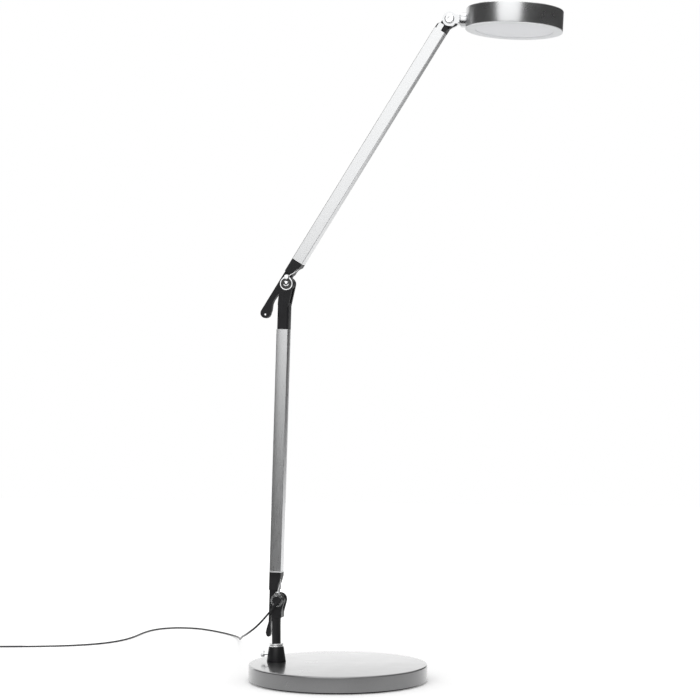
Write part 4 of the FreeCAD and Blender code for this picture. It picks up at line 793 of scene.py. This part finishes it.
class LAMP_OT_socket(LampOperator, bpy.types.Operator):
    """Conical socket with its thumb screw and the two bright rings"""
    bl_idname = "lamp.socket"
    bl_label = "Socket"

    def execute(self, context):
        top = BASE_TOP / MM
        cone = lathe([(4.06, top + SOCKET_HEIGHT), (9.4, top + SOCKET_HEIGHT), (12.2, top),
                      (BOLT_RADIUS, top), (BOLT_RADIUS, top + 6.2), (4.06, top + 6.2)], 96, closed=True)
        soften(cone, 0.5, 3)
        piece("socket_cone_skin", cone, POST, "black_enamel", "base", ["socket_cone"])
        ring_top = top + SOCKET_HEIGHT + THRUST_RING_HEIGHT
        for name, low, body, bore in (("thrust_ring_lower", top + SOCKET_HEIGHT, "base", 4.06),
                                      ("thrust_ring_upper", ring_top + THRUST_RING_GAP, "swivel", 4.0)):
            high = low + THRUST_RING_HEIGHT
            ring = lathe([(bore, low), (9.0, low), (9.0, high), (bore, high)], 96, closed=True)
            soften(ring, 0.65, 4, [edge for edge in sharp_edges(ring) if edge.verts[0].co.xy.length > 8])
            piece(name + "_skin", ring, POST, "bright_plating", body, [name])
        cast("thumb_screw", "bright_plating", "thumb", 0.18)
        dress("socket_bolt", "plain_steel")
        return {"FINISHED"}


class LAMP_OT_post(LampOperator, bpy.types.Operator):
    """Swivelling post with its fork and the cap the cord comes out of"""
    bl_idname = "lamp.post"
    bl_label = "Post"

    def execute(self, context):
        cast("post", "black_enamel", "swivel", 0.45)
        cast("cord_gland", "black_nylon", "swivel", 0.4)
        dress("post_spindle", "plain_steel")
        return {"FINISHED"}


class LAMP_OT_joint_hardware(LampOperator, bpy.types.Operator):
    """Spring pegs and their washers, friction discs, bolts and nuts of the joints"""
    bl_idname = "lamp.joint_hardware"
    bl_label = "Joint hardware"

    def execute(self, context):
        for node, body in (("spring_anchor_lower", "swivel"), ("spring_anchor_upper", "lower_arm")):
            cast(node, "bright_plating", body, 0.2)
        for node in ("friction_discs_lower", "friction_discs_upper", "head_friction_discs"):
            dress(node, "dark_fibre")
        for node, body in (("pivot_nut_lower", "swivel"), ("pivot_nut_upper", "lower_arm"),
                           ("head_nut", "head")):
            cast(node, "plain_steel", body, 0.25)
        dress("pivot_bolt_lower", "plain_steel")
        dome = lathe([(0, 12.65), (1.2, 12.55), (2.5, 12.05), (3.5, 11.1), (4.0, 9.85),
                      (BOLT_RADIUS, 9.85), (BOLT_RADIUS, -11.2), (0, -11.2)], 64)
        piece("pivot_bolt_upper_skin", dome, UPPER_JOINT @ ACROSS, "bright_plating", "lower_arm",
              ["pivot_bolt_upper"])
        cast("pivot_head_washer_upper", "dark_fibre", "lower_arm", 0.1)
        return {"FINISHED"}


class LAMP_OT_lower_arm(LampOperator, bpy.types.Operator):
    """Lower arm: foot fitting with tail, bright plate, square tube and fork fitting"""
    bl_idname = "lamp.lower_arm"
    bl_label = "Lower arm"

    def execute(self, context):
        tube = square_tube(LOWER_TUBE_OFFSET, LOWER_TUBE_START, LOWER_TUBE_END)
        piece("lower_tube_skin", tube, LOWER_ARM, "arm_silver_lower", "lower_arm", ["lower_tube"],
              0.15)
        cast("lower_collar", "satin_plating", "lower_arm", 0.2)
        cast("lower_fitting", "black_nylon", "lower_arm", 0.45)
        cast("lower_top_fitting", "black_nylon", "lower_arm", 0.45)
        for node in ("lower_arm_screws", "lower_spring", "lower_spring_ends"):
            dress(node, "plain_steel")
        return {"FINISHED"}


class LAMP_OT_upper_arm(LampOperator, bpy.types.Operator):
    """Upper arm: foot fitting with tail and rivet, bright plate, square tube with its tab, head fitting"""
    bl_idname = "lamp.upper_arm"
    bl_label = "Upper arm"

    def execute(self, context):
        cast("upper_tube", "arm_silver_upper", "upper_arm", 0.2)
        cast("upper_collar", "satin_plating", "upper_arm", 0.2)
        cast("upper_fitting", "black_nylon", "upper_arm", 0.45)
        cast("upper_top_fitting", "black_nylon", "upper_arm", 0.4)
        cast("upper_tail_rivet", "bright_plating", "upper_arm", 0.1)
        for node in ("upper_arm_screws", "upper_spring", "upper_spring_ends"):
            dress(node, "plain_steel")
        return {"FINISHED"}


class LAMP_OT_spring_wires(LampOperator, bpy.types.Operator):
    """Steel wires from the pegs over the fittings' shoulders into the tubes"""
    bl_idname = "lamp.spring_wires"
    bl_label = "Spring wires"

    def execute(self, context):
        self.wire("lower", LOWER_ARM, LOWER_LEAN, LOWER_TUBE_OFFSET, LOWER_TUBE_START, (1.8, -8.3, 15.5),
                  "swivel", "lower_arm")
        self.wire("upper", UPPER_ARM, UPPER_LEAN, UPPER_TUBE_OFFSET, UPPER_TUBE_START, (1.2, -8.4, 16.5),
                  "lower_arm", "upper_arm")
        return {"FINISHED"}

    def wire(self, name, arm, lean, offset, start, corner, holder, body):
        """One wire: its eye round the peg and the rest along the arm into the tube, baked into one mesh."""
        eye_y = -ANCHOR_FACE - PEG_NECK / 2
        peg = Matrix.Rotation(math.radians(-lean), 4, "Y") @ Vector((PEG_SIDE, eye_y, PEG_HEIGHT))
        first = peg + (Vector(corner) - peg).normalized() * WIRE_EYE_RADIUS
        first.y = eye_y
        route = [first, Vector(corner), WIRE_ENTRY, Vector((offset + 2.2, -0.7, start - 1.5)),
                 Vector((offset + 0.2, -0.05, start + 16)), Vector((offset, 0, start + 46)),
                 Vector((offset, 0.01, 118)), Vector((offset, 0, SPRING_START))]
        bar = spline("bar", [arm @ point for point in route], WIRE_RADIUS * MM, 3, 6, 3)
        bar_mesh = bpy.data.meshes.new_from_object(bar)
        strand = bmesh.new()
        strand.from_mesh(bar_mesh)
        bpy.data.objects.remove(bar)
        bpy.data.meshes.remove(bar_mesh)
        moved(strand, arm.inverted())
        eye = bmesh.new()
        ring = bmesh.ops.create_circle(eye, segments=12, radius=WIRE_RADIUS)["verts"]
        bmesh.ops.translate(eye, verts=ring, vec=(WIRE_EYE_RADIUS, 0, 0))
        spun = [edge for edge in eye.edges]
        bmesh.ops.rotate(eye, verts=ring, cent=(0, 0, 0), matrix=Matrix.Rotation(math.radians(90), 3, "X"))
        bmesh.ops.spin(eye, geom=ring + spun, cent=(0, 0, 0), axis=(0, 0, 1), angle=math.tau, steps=40,
                       use_merge=True)
        bmesh.ops.recalc_face_normals(eye, faces=eye.faces)
        moved(eye, Matrix.Translation(peg) @ ACROSS)
        thing = self.bent(name + "_wire_skin", joined(strand, eye), arm)
        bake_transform(thing)
        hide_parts(name + "_spring_wire")

    def bent(self, name, mesh, place):
        moved(mesh, place)
        skin = bpy.data.meshes.new(name)
        mesh.to_mesh(skin)
        mesh.free()
        skin.shade_smooth()
        skin.materials.append(material("satin_plating"))
        thing = bpy.data.objects.new(name, skin)
        bpy.context.scene.collection.objects.link(thing)
        return thing


class LAMP_OT_head(LampOperator, bpy.types.Operator):
    """Round head: knuckle, neck, collar, housing, light unit, rim and opal diffuser"""
    bl_idname = "lamp.head"
    bl_label = "Head"

    def execute(self, context):
        axis = HEAD @ Matrix.Translation((HEAD_REACH, 0, 0))
        piece("head_housing_skin", self.housing(), axis, "head_silver", "head", ["head_housing"])
        rim = lathe([(59.7, -HEAD_HALF_HEIGHT), (59.7, -12.2), (58.35, -12.2), (58.35, -10.0), (49.6, -10.0),
                     (49.6, -12.0), (48.0, -12.0), (48.0, -HEAD_HALF_HEIGHT)], 160, closed=True)
        soften(rim, 0.25, 2)
        piece("diffuser_rim_skin", rim, axis, "rim_plastic", "head", ["head_diffuser_rim"])
        sheet = lathe([(0, -12.0), (49.5, -12.0), (49.5, -10.0), (0, -10.0)], 160)
        soften(sheet, 0.2, 2)
        piece("diffuser_skin", sheet, axis, "opal", "head", ["head_diffuser"])
        cast("head_knuckle", "turned_silver", "head", 0.5)
        cast("head_collar", "turned_silver", "head", 0.3)
        cast("head_bolt", "bright_plating", "head", 0.15)
        dress("head_neck_nut", "plain_steel")
        dress("head_led_plate", "head_silver")
        dress("head_plate_screws", "plain_steel")
        dress("head_led_board", "solder_mask_white")
        dress("head_led_chips", "phosphor")
        return {"FINISHED"}

    def housing(self):
        """Drawn shell, open below, with a round hole for the button."""
        top = HEAD_HALF_HEIGHT
        shell = lathe([(50, top), (HEAD_RADIUS, top), (HEAD_RADIUS, -12.2), (58.4, -12.2), (58.4, top - 2),
                       (50, top - 2)], 192)
        outer = [edge for edge in sharp_edges(shell)
                 if edge.verts[0].co.z > top - 0.1 and edge.verts[0].co.xy.length > HEAD_RADIUS - 1]
        soften(shell, 1.6, 6, outer)
        lip = [edge for edge in sharp_edges(shell) if edge.verts[0].co.z < -12.1]
        soften(shell, 0.45, 3, lip)
        rings = []
        for height in (top, top - 2):
            hole = bmesh.ops.create_circle(shell, segments=48, radius=6.8)["verts"]
            bmesh.ops.translate(shell, verts=hole, vec=(-SWITCH_BACK, 0, height))
            loop = {edge for vert in hole for edge in vert.link_edges}
            outline = [edge for edge in shell.edges if edge.is_boundary
                       and all(abs(vert.co.z - height) < 1e-3 and vert.co.xy.length > 49
                               for vert in edge.verts)]
            bmesh.ops.triangle_fill(shell, use_beauty=True, use_dissolve=False, edges=list(loop) + outline)
            rings += list(loop)
        bmesh.ops.bridge_loops(shell, edges=rings)
        bmesh.ops.recalc_face_normals(shell, faces=shell.faces)
        return shell


class LAMP_OT_switch(LampOperator, bpy.types.Operator):
    """Round push button in the top of the head, and the switch under it"""
    bl_idname = "lamp.switch"
    bl_label = "Switch"

    def execute(self, context):
        key = lathe([(0, 14.0), (3.6, 14.0), (4.6, 14.5), (6.5, 14.5), (6.5, 10.95), (7.8, 10.95),
                     (7.8, 9.95), (0, 9.95)], 64)
        soften(key, 0.35, 3)
        place = HEAD @ Matrix.Translation((HEAD_REACH - SWITCH_BACK, 0, 0))
        piece("switch_button_skin", key, place, "switch_grey", "switch", ["switch_button"])
        dress("head_switch_module", "switch_grey")
        return {"FINISHED"}


# --- add-on ------------------------------------------------------------------------------------
class LampSizes(bpy.types.PropertyGroup):
    base_edge: FloatProperty(name="Base edge radius", description="Rounding of the base's top edge",
                             default=1.8 * MM, unit="LENGTH", precision=4)
    cord_length: FloatProperty(name="Cord length", description="Free length from the lamp to the supply",
                               default=1.82, unit="LENGTH", precision=3)
    lens: FloatProperty(name="Lens", description="Focal length of the camera in millimetres",
                        default=96.73, subtype="DISTANCE_CAMERA")


def colour(name, description, value):
    return FloatVectorProperty(name=name, description=description, default=value, subtype="COLOR",
                               size=3, min=0.0, max=1.0)


class LampFinishes(bpy.types.PropertyGroup):
    base_silver: colour("Base silver", "Paint of the base", (0.2, 0.201, 0.203))
    arm_silver: colour("Arm silver", "Anodised tubes", (0.62, 0.625, 0.63))
    head_silver: colour("Head silver", "Housing, neck and collar", (0.6, 0.605, 0.61))
    plating: colour("Plating", "Bright rings, pegs and screws", (0.78, 0.785, 0.79))
    steel: colour("Steel", "Plain hardware", (0.5, 0.5, 0.505))
    black: colour("Black", "Fittings and post", (0.012, 0.012, 0.0135))
    rim: colour("Rim", "Light ring round the diffuser", (0.8, 0.805, 0.82))
    opal: colour("Opal", "Diffuser", (0.62, 0.625, 0.65))


OPERATORS = (LAMP_OT_stage, LAMP_OT_supply, LAMP_OT_cord, LAMP_OT_base, LAMP_OT_socket, LAMP_OT_post,
             LAMP_OT_joint_hardware, LAMP_OT_lower_arm, LAMP_OT_upper_arm, LAMP_OT_spring_wires,
             LAMP_OT_head, LAMP_OT_switch)


class LAMP_PT_panel(bpy.types.Panel):
    """Lists the lamp's pieces, sizes and colours"""
    bl_idname = "LAMP_PT_panel"
    bl_label = "Desk Lamp"
    bl_space_type = "VIEW_3D"
    bl_region_type = "UI"
    bl_category = "Desk Lamp"

    def draw(self, context):
        for group in (context.scene.lamp_sizes, context.scene.lamp_finishes):
            for name in group.__annotations__:
                self.layout.prop(group, name)
        for operator in OPERATORS:
            self.layout.operator(operator.bl_idname)


CLASSES = (LampSizes, LampFinishes) + OPERATORS + (LAMP_PT_panel,)


def register():
    for item in CLASSES:
        bpy.utils.register_class(item)
    bpy.types.Scene.lamp_sizes = PointerProperty(type=LampSizes)
    bpy.types.Scene.lamp_finishes = PointerProperty(type=LampFinishes)


def unregister():
    del bpy.types.Scene.lamp_finishes
    del bpy.types.Scene.lamp_sizes
    for item in reversed(CLASSES):
        bpy.utils.unregister_class(item)


def main():
    register()
    for operator in OPERATORS:
        group, name = operator.bl_idname.split(".")
        getattr(getattr(bpy.ops, group), name)()


if __name__ == "__main__":
    main()
